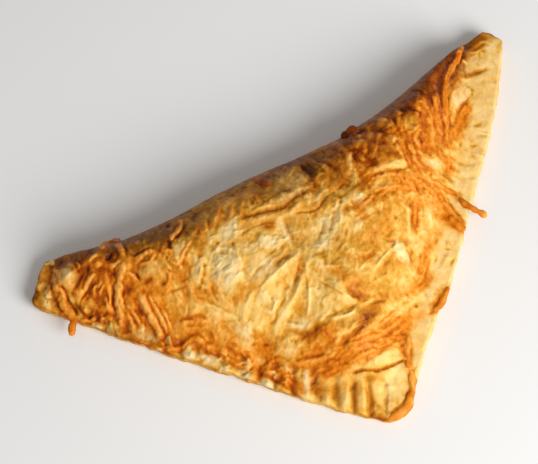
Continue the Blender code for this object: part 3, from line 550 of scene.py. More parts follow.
    (1.0, -0.4, 0.58, 0.8, ((66.4, 30.4), (69.4, 32), (72.4, 33.8), (75.6, 35.4))),
    (1.2, -0.5, 0.50, 0.3, ((66, 38.4), (69.4, 40.2), (73, 42), (76, 43.6))),
    # The bubbly right part of the dome.
    (1.4, -0.4, 0.50, 0.8, ((22, 19.6), (26, 19.3), (30, 18.6), (34, 17.6), (37.6, 17))),
    (1.6, -0.9, 0.82, 0.5, ((23.4, 30.4), (21.8, 28.4), (21, 25.8))),
    (1.2, -0.5, 0.42, 0.3, ((18, 13.8), (20, 14.2))),
    (2.4, -0.9, 0.88, 0.3, ((33, 38), (29, 37.4), (27, 38))),
    (2.6, -1.0, 0.95, 0.5, ((28, 43), (26, 41), (25, 38.6), (24, 36.6))),
    (1.2, 0.5, 0.10, 0.1, ((42.8, 28.8), (46, 28.4), (49.6, 29.8))),
    (1.2, 0.5, 0.12, 0.1, ((43, 29), (44, 31.4), (45.2, 33.6))),
    (1.6, -0.5, 0.62, 0.8, ((40, 31.4), (41, 33.6), (42, 36))),
    (2.6, -0.5, 0.86, 0.9, ((47.6, 38), (48.6, 36.4), (49.4, 35))),
    (1.4, -0.5, 0.66, 0.7, ((34, 36), (35.4, 33.6), (34.6, 31))),
    (2.0, -0.7, 0.66, 0.8, ((38.4, 10.6), (40.4, 9))),
    (1.2, -0.6, 0.62, 0.7, ((42, 26), (43, 25))),
    (1.6, -0.7, 0.68, 0.8, ((46, 24.6), (48, 24.4))),
    (1.2, -0.6, 0.60, 0.6, ((33, 15), (34.4, 14))),
    (1.0, -0.5, 0.50, 0.6, ((47.6, 6), (47.4, 1), (48.2, -4))),
    (1.2, -0.6, 0.50, 0.1, ((52.2, 6.4), (53, 3))),
    (1.4, -0.7, 0.70, 0.2, ((51.4, -3.4), (52.8, -3))),
)
# The way in which the small wrinkles and the melted cheese run: x, y and heading.
WAYS = (
    (-92, 40, -100), (-78, 30, -110), (-66, 20, -92), (-56, 10, -62), (-45, 0, -58), (-50, 30, -120),
    (-36, 12, 35), (-26, 28, -100), (-14, 22, -8), (-30, -6, 30), (-15, -5, -115), (-4, -9, -60),
    (-20, 10, 10), (0, 10, 60), (8, -4, 20), (10, -20, 15), (-5, -28, 4), (-22, -28, -12), (-14, -42, 62),
    (25, 28, -110), (24, 12, 0), (45, 8, -45), (42, 30, -105), (60, 30, -115), (76, 42, -140),
    (62, 14, -40), (86, 44, -60), (2, 33, -80), (32, -10, 35), (40, 42, -50), (-72, 44, -75),
    (-25, 37, -80),
    (60, 45, -60),
)

# How far a way holds round its place, and the grid over the plan on which streaks follow the ways.
WAY_REACH = 9.0
STREAK_GRID = {"low": (-104.0, -62.0), "cells": (520, 310), "step": 0.4}

# Spacing of the points along a ridge or crease, and along a small wrinkle.
FOLD_STEP = 0.6
WRINKLE_STEP = 0.7

# Small wrinkles all over: how many, where, and how their two kinds change the browning: painted light on
# raised ones and painted shade on sunk ones.
WRINKLE_COUNT = 250
WRINKLE_AREA = ((-94, 92), (-52, 46))
RAISED_PAINTED_LIGHT = -0.08
SUNK_PAINTED_SHADE = 0.11


def smooth_path(places, step):
    """Evenly spaced points along a smooth curve through the given places."""
    places = np.array(places, float)
    padded = np.vstack([2 * places[0] - places[1], places, 2 * places[-1] - places[-2]])
    share = np.linspace(0.0, 1.0, 12, endpoint=False)[:, None]
    curve = []
    for before, start, end, after in zip(padded, padded[1:], padded[2:], padded[3:]):
        slope, bend = end - before, 2 * before - 5 * start + 4 * end - after
        swing = 3 * (start - end) + after - before
        curve.append(start + 0.5 * (slope * share + bend * share**2 + swing * share**3))
    curve = np.vstack([*curve, places[-1:]])
    arcs = arc_lengths(curve)
    spots = np.linspace(0.0, arcs[-1], max(3, round(arcs[-1] / step) + 1))
    return np.stack([np.interp(spots, arcs, curve[:, k]) for k in range(2)], 1)


def curved_path(x, y, heading, length, turn, step):
    """Points along an arc with the given middle, heading there, length and whole turn."""
    share = np.linspace(-0.5, 0.5, 41)
    angle = np.radians(heading + turn * share)
    steps = np.stack([np.cos(angle), np.sin(angle)], 1) * (share[1] - share[0]) * length
    path = np.concatenate([np.zeros((1, 2)), np.cumsum((steps[1:] + steps[:-1]) / 2, axis=0)])
    path = path - path[len(path) // 2] + (x, y)
    places = np.linspace(-0.5, 0.5, max(4, round(length / step) + 1))
    return np.stack([np.interp(places, share, path[:, k]) for k in range(2)], 1)


def turned(points, x, y, heading):
    """The points as seen from a place along a heading: how far ahead and how far to the left."""
    angle = math.radians(heading)
    dx, dy = points[:, 0] - x, points[:, 1] - y
    return dx * math.cos(angle) + dy * math.sin(angle), dy * math.cos(angle) - dx * math.sin(angle)


def near(points, low, high):
    """Numbers of the points within a box."""
    return np.nonzero(((points > low) & (points < high)).all(1))[0]


def ways(points):
    """The unit direction in which wrinkles run at each point, which has no sense forwards or back."""
    way = np.array(WAYS, float)
    square = ((points[:, None] - way[None, :, :2]) ** 2).sum(2)
    weight = np.exp(-square / (2 * WAY_REACH**2)) + 1e-12
    doubled = 2 * np.radians(way[:, 2])
    angle = np.arctan2(weight @ np.sin(doubled), weight @ np.cos(doubled)) / 2
    return np.stack([np.cos(angle), np.sin(angle)], 1)


def drawn_out(grain, low, step, length):
    """Grain on a grid, added up along the ways over a length to both sides."""
    cells = grain.shape
    x, y = np.meshgrid(np.arange(cells[0]), np.arange(cells[1]), indexing="ij")
    places = np.stack([x.ravel(), y.ravel()], 1) * step + low
    heading = ways(places)
    total = np.zeros(len(places))
    for sense in (1.0, -1.0):
        walker, ahead = places.copy(), heading * sense
        for _ in range(round(length / 2 / step)):
            spot = np.clip(((walker - low) / step).round().astype(int), 0, np.array(cells) - 1)
            total += grain[spot[:, 0], spot[:, 1]]
            field = heading[spot[:, 0] * cells[1] + spot[:, 1]]
            field = field * np.where((field * ahead).sum(1) < 0, -1.0, 1.0)[:, None]
            walker, ahead = walker + field * step, field
    return (total / total.std()).reshape(cells) * 0.5


def streaks(points, width, length, seed):
    """Noise drawn out along the ways: streaks of about the given width and length, mostly within 1."""
    low, step, cells = np.array(STREAK_GRID["low"]), STREAK_GRID["step"], STREAK_GRID["cells"]
    grain = np.random.default_rng(seed).normal(size=cells)
    for _ in range(round((width / step) ** 2 / 2)):
        for axis in (0, 1):
            grain = (np.roll(grain, 1, axis) + 2 * grain + np.roll(grain, -1, axis)) / 4
    total = drawn_out(grain, low, step, length)
    spot = np.clip((points - low) / step, 0, np.array(cells) - 1.001)
    whole, part = spot.astype(int), spot % 1.0
    i, j = whole.T
    u, v = part.T
    lower = total[i, j] * (1 - u) + total[i + 1, j] * u
    upper = total[i, j + 1] * (1 - u) + total[i + 1, j + 1] * u
    return lower * (1 - v) + upper * v


def add_flakes(height, points, ragged):
    """Adds the flakes: plates with a short ragged step down."""
    for x, y, heading, length, width, lift in FLAKES:
        along, across = turned(points, x, y, heading)
        reach = (np.abs(2 * along / length) ** 4 + np.abs(2 * across / width) ** 4) ** 0.25
        reach = reach * (1.0 + FLAKE_RAGGEDNESS * ragged)
        height += FLAKE_THICKNESS * lift * (1.0 - smoothstep(*FLAKE_STEP, reach))


def trace(sheet, points, rows, firmness):
    """Draws ridges and creases along their paths, firm ones with steeper sides, and colours them.

    They are browned towards the row's value, most where it is very pale or very dark; pale ridges and dark
    creases are partly browning and partly painted light and painted shade. In a row without a value for
    cheese, the browning is shifted by it instead, as painted light on ridges and painted shade in creases.
    """
    for width, rise, brown, melted, path in rows:
        chosen = near(points, path.min(0) - 1.2 * width, path.max(0) + 1.2 * width)
        if len(chosen) == 0:
            continue
        gap, arc = distance_and_arc(points[chosen], path)
        length = arc_lengths(path)[-1]
        ends = smoothstep(0.0, min(2.0 * width, 0.5 * length), np.minimum(arc, length - arc))
        across = gap / (0.5 * width)
        soft, firm = np.exp(-1.8 * across**1.3), np.clip(1.0 - across**2, 0.0, 1.0) ** 0.7
        bulge = soft + (firm - soft) * firmness
        sheet["height"][chosen] += rise * ends * bulge
        if melted is None:
            sheet["browning"][chosen] += brown * ends * np.exp(-0.7 * across**2)
            continue
        strength = float(smoothstep(0.5, 0.75, brown) + 1.0 - smoothstep(0.0, 0.12, brown))
        stain = 0.45 + 0.3 * firmness + 0.35 * strength
        share = stain * ends * np.exp(-0.7 * across**2)
        sheet["browning"][chosen] += (brown - sheet["browning"][chosen]) * share
        sheet["cheese"][chosen] += (melted - sheet["cheese"][chosen]) * share


def loose_wrinkles(draw, count):
    """Rows of small ridges and creases all over the dome, as trace takes them."""
    rows = []
    places = np.stack([draw.uniform(*side, 3 * count) for side in WRINKLE_AREA], 1)
    places = places[inside(places, OUTLINE)][:count]
    for place, way in zip(places, ways(places)):
        heading = math.degrees(math.atan2(way[1], way[0])) + draw.normal(0.0, 22.0)
        path = curved_path(*place, heading, draw.uniform(2.5, 8.0), draw.uniform(-70, 70), WRINKLE_STEP)
        raised = draw.uniform() < 0.5
        rise = draw.uniform(0.15, 0.4) * (1 if raised else -1)
        # Raised wrinkles are painted lighter and sunk ones darker: painted light and painted shade.
        shade = RAISED_PAINTED_LIGHT if raised else SUNK_PAINTED_SHADE
        rows.append((draw.uniform(0.8, 1.6), rise, shade, None, path))
    return rows


draw = np.random.default_rng(seed=20)
traced_folds = [(*row[:4], smooth_path(row[4], FOLD_STEP)) for row in FOLDS]
small_folds = loose_wrinkles(draw, WRINKLE_COUNT)

# ------------------------------------------------------------------------------------------------------
# Grated cheese on the sheet. Gratings 1 to 3 mm wide were strewn over the raw dough; most melted into it
# as flat ridges, and their fat ran out and browned beside them.
# ------------------------------------------------------------------------------------------------------

# Strands that melted into the sheet, traced one by one: width, how brown from 0 to 1, and their places.
STRANDS = (
    # Left tip.
    (2.4, 0.34, ((-88.2, 44), (-89.4, 41.6), (-88.2, 39.4), (-89.4, 37), (-89.5, 33.6), (-88.8, 30.6),
                 (-88.3, 28))),
    (2.2, 0.30, ((-87.4, 49.4), (-86.4, 46.6), (-86.6, 44), (-88, 41.4))),
    (1.6, 0.30, ((-85, 33.4), (-83.6, 35), (-81.2, 35.4), (-79, 36.6), (-77, 37.1), (-75, 37))),
    (1.2, 0.36, ((-84.4, 31.6), (-83.8, 33), (-82.2, 33.4))),
    (1.3, 0.40, ((-79, 32.4), (-78, 34), (-76, 33.6), (-74.6, 35))),
    (1.2, 0.38, ((-77.6, 31), (-76, 32), (-74.4, 32.6))),
    (1.3, 0.34, ((-72.8, 31.8), (-74, 29.6), (-75.4, 27.4), (-76.6, 25.4))),
    (3.0, 0.30, ((-63.6, 33.4), (-66.6, 33.2), (-69, 31.2), (-71.2, 28.4), (-73, 25.4), (-74.2, 22),
                 (-74, 18.6))),
    (2.4, 0.42, ((-64.6, 43.6), (-63.9, 40.5), (-64.5, 37.6), (-65.2, 35))),
    (1.8, 0.36, ((-70.4, 36.4), (-68.6, 35.6), (-66.6, 35.8), (-65, 36.6))),
    (1.5, 0.34, ((-75.6, 41), (-73.6, 41.9), (-71.4, 41.5))),
    (1.5, 0.30, ((-74.8, 39), (-72.8, 38.7), (-71.8, 39.2))),
    (1.0, 0.45, ((-79.3, 44.4), (-79, 42.6), (-79.9, 41.4))),
    (1.8, 0.40, ((-66.6, 31.6), (-65, 29.8), (-64.6, 27))),
    (2.6, 0.28, ((-65.6, 24), (-65.5, 20), (-65.2, 16), (-65.1, 12), (-65.4, 8))),
    (1.6, 0.30, ((-63, 22), (-63, 18), (-62.6, 14), (-63, 9))),
    (1.4, 0.30, ((-61.4, 16), (-61, 12.6), (-61.6, 9))),
    (1.8, 0.32, ((-72.4, 22), (-72, 18.6), (-72.6, 15.4))),
    (1.5, 0.34, ((-70.4, 21.6), (-69.8, 18.6), (-70, 15.6))),
    (1.8, 0.38, ((-79.6, 26.4), (-77.6, 27), (-76, 25.4), (-76.6, 23.6))),
    (1.4, 0.44, ((-80.6, 24.8), (-78.6, 24.4), (-77, 22))),
    (1.6, 0.42, ((-88, 27.2), (-86, 27.2), (-84, 26.2), (-81.6, 26.6))),
    (2.0, 0.38, ((-62.5, 31.5), (-60.5, 32.6), (-58, 33), (-55.8, 32.6), (-54.2, 31.6))),
    (1.4, 0.42, ((-61.8, 31.2), (-59.8, 30.3), (-57.8, 29.6), (-56, 30.4), (-54.3, 31.3))),
    (1.5, 0.45, ((-55, 24.8), (-54.1, 23.2), (-54.5, 21.5), (-56.2, 20.4), (-58.2, 20.8))),
    (1.3, 0.35, ((-57.5, 19.6), (-55.8, 19.2), (-54.4, 20))),
    (1.4, 0.42, ((-52.5, 29.6), (-51, 29.8), (-50, 28.6), (-50.8, 27))),
    (1.3, 0.30, ((-51.8, 26), (-50.2, 24.3), (-48.4, 24.4), (-46.8, 26), (-45, 27), (-43.2, 28.4),
                 (-41.6, 29))),
    (1.2, 0.30, ((-47.5, 23), (-45.8, 24.4), (-44.6, 26))),
    (1.7, 0.38, ((-41, 40), (-41.4, 38.4), (-43, 36), (-45.8, 34.2), (-49, 32.8))),
    (1.0, 0.50, ((-58.9, 37.8), (-57.8, 38.8))),
    (2.0, 0.40, ((-58, 9), (-55, 7.6), (-52, 6), (-49.5, 4.2))),
    (2.0, 0.46, ((-66, 4.6), (-63, 3), (-60, 2.6), (-57, 2.8), (-54, 1.6))),
    (2.0, 0.50, ((-66.5, 9), (-65.8, 5.5), (-64, 2.5))),
    # Lumps on the right part of the dome.
    (3.4, 0.06, ((25, 34), (26.2, 32.8), (26.8, 31.6))),
    (2.0, 0.02, ((27.4, 36.6), (28.4, 36), (29, 35.4))),
    (3.0, 0.06, ((30.6, 35.2), (31.4, 34), (32, 33))),
    (2.6, 0.06, ((33, 33), (33.8, 32), (34.2, 31))),
    (3.0, 0.10, ((37.6, 36.6), (38.8, 37.8), (39.6, 38.8))),
    (3.0, 0.08, ((38.8, 35.2), (39.2, 34), (39.4, 32.8))),
    (2.8, 0.04, ((35.4, 29.2), (37.4, 28.6), (39.2, 28))),
    (2.0, 0.04, ((43.8, 36.8), (44.6, 36.3), (45.2, 35.8))),
    (1.6, 0.26, ((51, 35.6), (52, 34.6), (52.8, 33.8))),
    (1.2, 0.30, ((53.2, 37.6), (53.8, 36.8), (54.2, 36))),
)
# Strands that melted nearly flat, elsewhere. Same columns.
FLAT_STRANDS = (
    # Along the left seam.
    (2.2, 0.36, ((-55, -1), (-52.5, -2.5), (-50.5, -5), (-49, -8))),
    (1.8, 0.40, ((-50, -7), (-48.2, -10), (-46.5, -13), (-44, -15))),
    (1.8, 0.42, ((-47, -4), (-45.5, -7), (-43.5, -10), (-41, -12))),
    (2.0, 0.44, ((-40, -18.5), (-37.5, -17.4), (-35, -17.6), (-32.5, -19))),
    (2.4, 0.44, ((-34.8, -21), (-34.2, -24), (-33.6, -27), (-33.8, -30), (-32.6, -33))),
    (2.0, 0.38, ((-31, -21.5), (-27.5, -23.5), (-23, -25), (-18, -26.6), (-13, -28))),
    (1.6, 0.46, ((-25, -27.8), (-21.5, -28.6), (-18, -29.4), (-14.5, -30.4))),
    (1.8, 0.45, ((-24, -30), (-20.5, -30.4), (-17, -31), (-13.5, -32.4))),
    # Across the front, and down the edge of the front corner.
    (1.8, 0.40, ((11, -25.6), (6, -27), (1, -28.4), (-4, -28.4), (-9, -27.4), (-14, -26.2), (-18, -25))),
    (1.6, 0.38, ((12, -28), (7, -29.2), (2, -30.8), (-2, -31), (-6, -29.8), (-11, -29.2), (-16, -28.6))),
    (1.8, 0.42, ((8, -30.6), (3, -31.6), (-3, -32), (-9, -31.5), (-14, -31.2))),
    (1.5, 0.36, ((9, -23.6), (4, -25), (-1, -26.2), (-6, -26.4), (-11, -25.6))),
    (1.5, 0.45, ((-6, -27.2), (-11, -28.2), (-15, -29.6), (-18, -31))),
    (1.5, 0.50, ((-14, -27.3), (-18, -28), (-22, -28))),
    (1.8, 0.30, ((-14, -33.4), (-16.5, -32.6), (-18.4, -33.8))),
    (1.6, 0.42, ((2, -30), (6, -31.4), (9.5, -31.6))),
    # Right of the middle, and the two that hang over the right flange.
    (2.4, 0.40, ((28.5, -1), (30.5, 1), (32.5, 3.8), (34, 6), (35, 7))),
    (1.6, 0.30, ((20, -18.2), (24, -16.6), (27.5, -13.4), (31, -10.4))),
    (2.2, 0.36, ((36, 15), (39.5, 11.6), (42.5, 8), (44.6, 4))),
    (2.6, 0.38, ((44, 8), (45.6, 4), (46.4, 0), (46.8, -4), (47, -7.5))),
    (1.8, 0.35, ((40, 14), (44, 11), (48, 8.4), (51, 5))),
    (1.4, 0.38, ((56.4, 18.4), (54.4, 15.6), (52.8, 13), (52.4, 10.5))),
    (1.6, 0.42, ((20.8, 11.6), (25, 12.6), (30, 11.8), (35, 10.6))),
    (1.4, 0.28, ((13, 11), (17, 12), (20.5, 13))),
    # The bubbly right part of the dome.
    (1.4, 0.32, ((22, 18.6), (26, 17.8), (30, 17), (33.4, 15.8))),
    (1.3, 0.30, ((21.8, 18.4), (21.4, 16.4), (20.8, 14.6))),
    (1.4, 0.34, ((20.8, 14.4), (25, 13.8), (29, 12.8), (32.5, 12))),
    (1.8, 0.14, ((24, 21.6), (28.4, 20.6), (32, 19.6), (35.6, 18.6), (37, 20.4))),
    (1.6, 0.30, ((37.6, 27), (37.3, 24), (37.2, 21))),
    (2.2, 0.46, ((40.4, 31), (39.2, 26), (38.6, 21.5), (38.8, 17.4))),
    (1.6, 0.30, ((36.6, 29.6), (38.4, 28.4), (40.4, 28))),
    (1.6, 0.16, ((22.4, 31.8), (20.6, 30), (19.2, 28), (18.6, 26), (17.4, 24.6), (16.2, 23.6))),
    (2.6, 0.14, ((18.4, 24), (18.6, 21.6))),
    (1.6, 0.30, ((27.4, 30.2), (26.4, 29), (26, 27.6))),
    (1.5, 0.32, ((28.8, 27.6), (27.6, 26.4), (26.2, 25.8))),
    (1.4, 0.34, ((24.4, 28.6), (24, 27), (24.8, 25.4))),
    (1.2, 0.55, ((23.8, 23.6), (24.4, 21.8))),
    (1.7, 0.45, ((44.4, 36.8), (43.2, 34), (42.3, 31), (41.4, 28.2))),
    (1.6, 0.20, ((50.6, 33.8), (49.6, 32.6))),
    (1.5, 0.26, ((55.4, 35), (54.8, 33.6))),
    (1.4, 0.40, ((63.2, 41), (61.8, 40.4))),
    (1.8, 0.46, ((60.4, 38), (59, 33.6), (58.2, 30), (57.6, 26.8))),
    (1.8, 0.36, ((55, 32.4), (54.2, 29.4), (53.8, 26.4))),
    (1.4, 0.38, ((49.5, 28), (47.6, 27.8), (45.4, 26.6), (44.8, 24.6), (46, 22.8))),
    (1.6, 0.30, ((42.8, 26), (42, 23), (42.4, 20.4))),
    (1.4, 0.45, ((41, 20.5), (41.6, 17.6), (43.6, 15.4))),
    (1.4, 0.35, ((46, 19.6), (48, 18.6), (50.4, 19.4))),
    (1.6, 0.50, ((53.6, 22), (52.4, 19.8), (51.8, 17.4))),
    (2.4, 0.40, ((63.4, 34), (61.8, 30.2), (60.2, 27), (58.4, 24), (56.4, 21.4))),
    (3.2, 0.42, ((75.6, 33.6), (72.6, 32.2), (69.6, 30.4), (66.6, 28.2), (63.4, 25.8), (60.4, 24))),
    # On the fold.
    (1.6, 0.35, ((-23.4, 34.2), (-25, 32), (-26.8, 30), (-28.6, 28.4))),
    (1.6, 0.45, ((-27, 36.6), (-28.2, 34.6), (-29, 32))),
    (1.6, 0.40, ((-36.4, 32.6), (-37.4, 30.6), (-38.6, 28.6))),
    (1.2, 0.45, ((-15, 32.2), (-16, 30.8), (-17.4, 29.4))),
    (1.2, 0.40, ((-22, 37.4), (-22.8, 34.8))),
)
# Strands that stand free: they hang over an edge or kept their round form. Same columns. The sheet has
# only a low ridge under them.
FREE_STRANDS = (
    (2.5, 0.38, ((-90, 38.4), (-89.6, 35.6), (-89.2, 32.8), (-89.2, 30), (-89.8, 28.4))),
    (2.8, 0.44, ((-89, 31), (-89.5, 29.2), (-90.8, 27), (-92.2, 24.8))),
    (2.0, 0.34, ((9.4, -31.6), (8, -34), (6, -36.8), (4.6, -39.8), (3.6, -42.8))),
    (2.3, 0.34, ((3.8, -42), (3, -45.4), (1.4, -48), (-1.6, -51), (-5, -52.6), (-8.5, -53.2),
                 (-11, -53.4))),
    (2.2, 0.42, ((31, -23.4), (29, -24.6), (26.5, -26.8), (23.5, -28), (21.6, -28.2))),
    (3.2, 0.44, ((44.2, -1), (45.2, -4.4), (47, -8.2))),
    (2.0, 0.44, ((51.4, 3.4), (51.9, 1), (52.8, -1.6), (54.4, -3.8), (56.2, -6))),
    (3.4, 0.38, ((54.9, -4.2), (56, -5.6), (57, -7.2))),
    (2.8, 0.52, ((-69.8, 42.8), (-68.4, 45), (-66, 46.3), (-63.8, 45.6), (-63, 43.4))),
    (2.2, 0.70, ((-12, 41), (-10.5, 38.5), (-9.8, 35.5), (-9.8, 33.4))),
    (5.2, 0.86, ((29.2, 39.3), (27.6, 39.9), (25.8, 39.9), (24.2, 39.2))),
    (1.6, 0.44, ((83.4, 53.4), (81, 51.4), (78, 48.8), (74, 46.2), (70.2, 43.4), (67.2, 40.4),
                 (65.2, 37.4),
                 (63.6, 34), (62, 30.4))),
)
# Where smaller gratings melted into the film and left only soft ridges: middle x, y, half the area's
# size each way, heading, number and brownness.
STREWN = (
    (-86, 38, 7, 8, -100, 5, 0.45),
    (-78, 31, 7, 6, -115, 10, 0.50),
    (-68, 21, 5, 12, -98, 13, 0.42),
    (-60, 14, 5, 12, -75, 11, 0.38),
    (-52, 4, 6, 8, -60, 11, 0.42),
    (-45, -8, 5, 7, -60, 10, 0.36),
    (-34, -21, 6, 5, -30, 8, 0.40),
    (-20, -25, 10, 4, -10, 11, 0.40),
    (0, -28, 14, 4, 6, 8, 0.40),
    (6, -38, 4, 8, -80, 4, 0.45),
    (-10, -51, 6, 3, -30, 2, 0.50),
    (26, 29, 7, 7, -110, 7, 0.55),
    (44, 24, 8, 8, -95, 11, 0.46),
    (57, 31, 7, 9, -115, 11, 0.45),
    (70, 42, 8, 5, -140, 5, 0.50),
    (40, 10, 12, 7, -40, 8, 0.36),
    (25, 14, 10, 5, -5, 4, 0.36),
    (-30, 32, 12, 4, -115, 8, 0.50),
    (-50, 32, 8, 6, -110, 7, 0.48),
    (-48, 18, 8, 8, -100, 8, 0.36),
    (30, -10, 10, 6, 35, 5, 0.28),
)

# Spacing of the points along a strand, and how high it stands as a share of its width, round or flat.
STRAND_STEP = 0.5
STRAND_RISE = 0.30
FLAT_RISE = 0.14

# How much cheese lies on a strand and on a soft ridge, how deep the crease beside a strand is as a share
# of its width, and how much the dark border beside it, part browning from the fat that ran out and part
# painted shade, darkens the sheet there.
STRAND_CHEESE = 0.95
STREWN_CHEESE = 0.8
CREASE_DEPTH = 0.05
BORDER_STAIN_AND_SHADE = 0.12


def strewn_ridges(draw):
    """Rows of the soft ridges, as trace takes them."""
    rows = []
    for x, y, half_x, half_y, heading, count, brownness in STREWN:
        for _ in range(count):
            place = (x + half_x * draw.uniform(-1, 1), y + half_y * draw.uniform(-1, 1))
            length, turn, width = draw.uniform(3.5, 9.0), draw.uniform(-60, 60), draw.uniform(1.3, 2.6)
            brown = float(np.clip(brownness - 0.08 + draw.normal(0.0, 0.10), 0.0, 1.0))
            path = curved_path(*place, heading + draw.normal(0.0, 20.0), length, turn, WRINKLE_STEP)
            rows.append((width, draw.uniform(0.25, 0.6), brown, STREWN_CHEESE, path))
    return rows


soft_ridges = strewn_ridges(draw)
melted_strands, flat_strands, free_strands = (
    [(width, brown, smooth_path(places, STRAND_STEP)) for width, brown, places in rows]
    for rows in (STRANDS, FLAT_STRANDS, FREE_STRANDS)
)


def melt_in(sheet, points):
    """Raises the melted strands as uneven ridges with a dark crease beside them, and colours them.

    Their tops are painted lighter, as painted light; the crease is darkened by browned fat and by painted
    shade.
    """
    ridge, crease, stain = np.zeros(len(points)), np.zeros(len(points)), np.zeros(len(points))
    rises = [STRAND_RISE] * len(melted_strands) + [FLAT_RISE] * (len(flat_strands) + len(free_strands))
    for number, (width, brown, path) in enumerate(melted_strands + flat_strands + free_strands):
        rise, firm = rises[number], rises[number] / STRAND_RISE
        chosen = near(points, path.min(0) - 1.6 * width, path.max(0) + 1.6 * width)
        gap, arc = distance_and_arc(points[chosen], path)
        from_end = np.minimum(arc, arc_lengths(path)[-1] - arc)
        lengthwise = np.column_stack([arc / 2.6, np.full(len(arc), 3.1 * number)])
        grain = noise_at(np.column_stack([arc / 2.0, gap / 0.7 + 5.3 * number]), 1.0, 55)
        knots = noise_at(points[chosen], 1.2, 57)
        across = gap / (0.53 * width * (1.0 + 0.38 * noise_at(lengthwise, 1.0, 56) + 0.18 * knots))
        ends = smoothstep(-0.3 * width, 1.1 * width, from_end)
        top = (1.0 - smoothstep(0.1, 1.2, across)) * ends
        border = ends * np.exp(-(((across - 1.3) / 0.3) ** 2))
        uneven = 1.0 + 0.35 * grain + 0.2 * knots
        ridge[chosen] = np.maximum(ridge[chosen], rise * width * top * uneven)
        crease[chosen] = np.maximum(crease[chosen], CREASE_DEPTH * width * border * firm)
        stain[chosen] = np.maximum(stain[chosen], border * (0.6 + 0.5 * grain) * firm)
        share = ends * (1.0 - smoothstep(0.75, 1.35, across))
        # Strand tops are painted lighter, as painted light; the grain is the strand's own uneven browning.
        shade = brown + 0.03 - 0.08 * top + 0.06 * grain
        sheet["browning"][chosen] += (shade - sheet["browning"][chosen]) * share
        sheet["cheese"][chosen] += (STRAND_CHEESE - sheet["cheese"][chosen]) * share
        sheet["leaf"][chosen] *= 1.0 - share
    beside = 1.0 - np.clip(3.0 * ridge, 0.0, 1.0)
    sheet["height"] += ridge - crease * beside
    # The dark border beside each strand is part browning from the fat that ran out and part painted shade.
    sheet["browning"] += BORDER_STAIN_AND_SHADE * stain * beside * (0.4 + 0.6 * sheet["cheese"])


# ------------------------------------------------------------------------------------------------------
# Browning. The oven browned the fold and the high places most, and the fold's side, turned from the lamp,
# is painted darker still as painted shade. The cheese ran into an orange film round the strands; the
# flange on the right stayed pale, and some leaves dried out cream-coloured.
# ------------------------------------------------------------------------------------------------------

# Browning from 0, raw, to 1, burnt, before the zones are painted, and the film of cheese on the dome.
DOME_BROWNING = 0.22
# The fold's browning is partly the oven's and partly painted shade of its side, which turns from the lamp.
FOLD_BROWNING_AND_SHADE = 0.66
RIGHT_FLANGE_BROWNING = 0.03
LEFT_FLANGE_BROWNING = 0.18
DOME_CHEESE = 0.15

# How far in from the fold its browning fades out, and at what share of their width the flanges' does.
FOLD_FADE = (5.0, 17.0)
RIGHT_FLANGE_FADE = (0.9, 1.2)
LEFT_FLANGE_FADE = (0.8, 1.2)
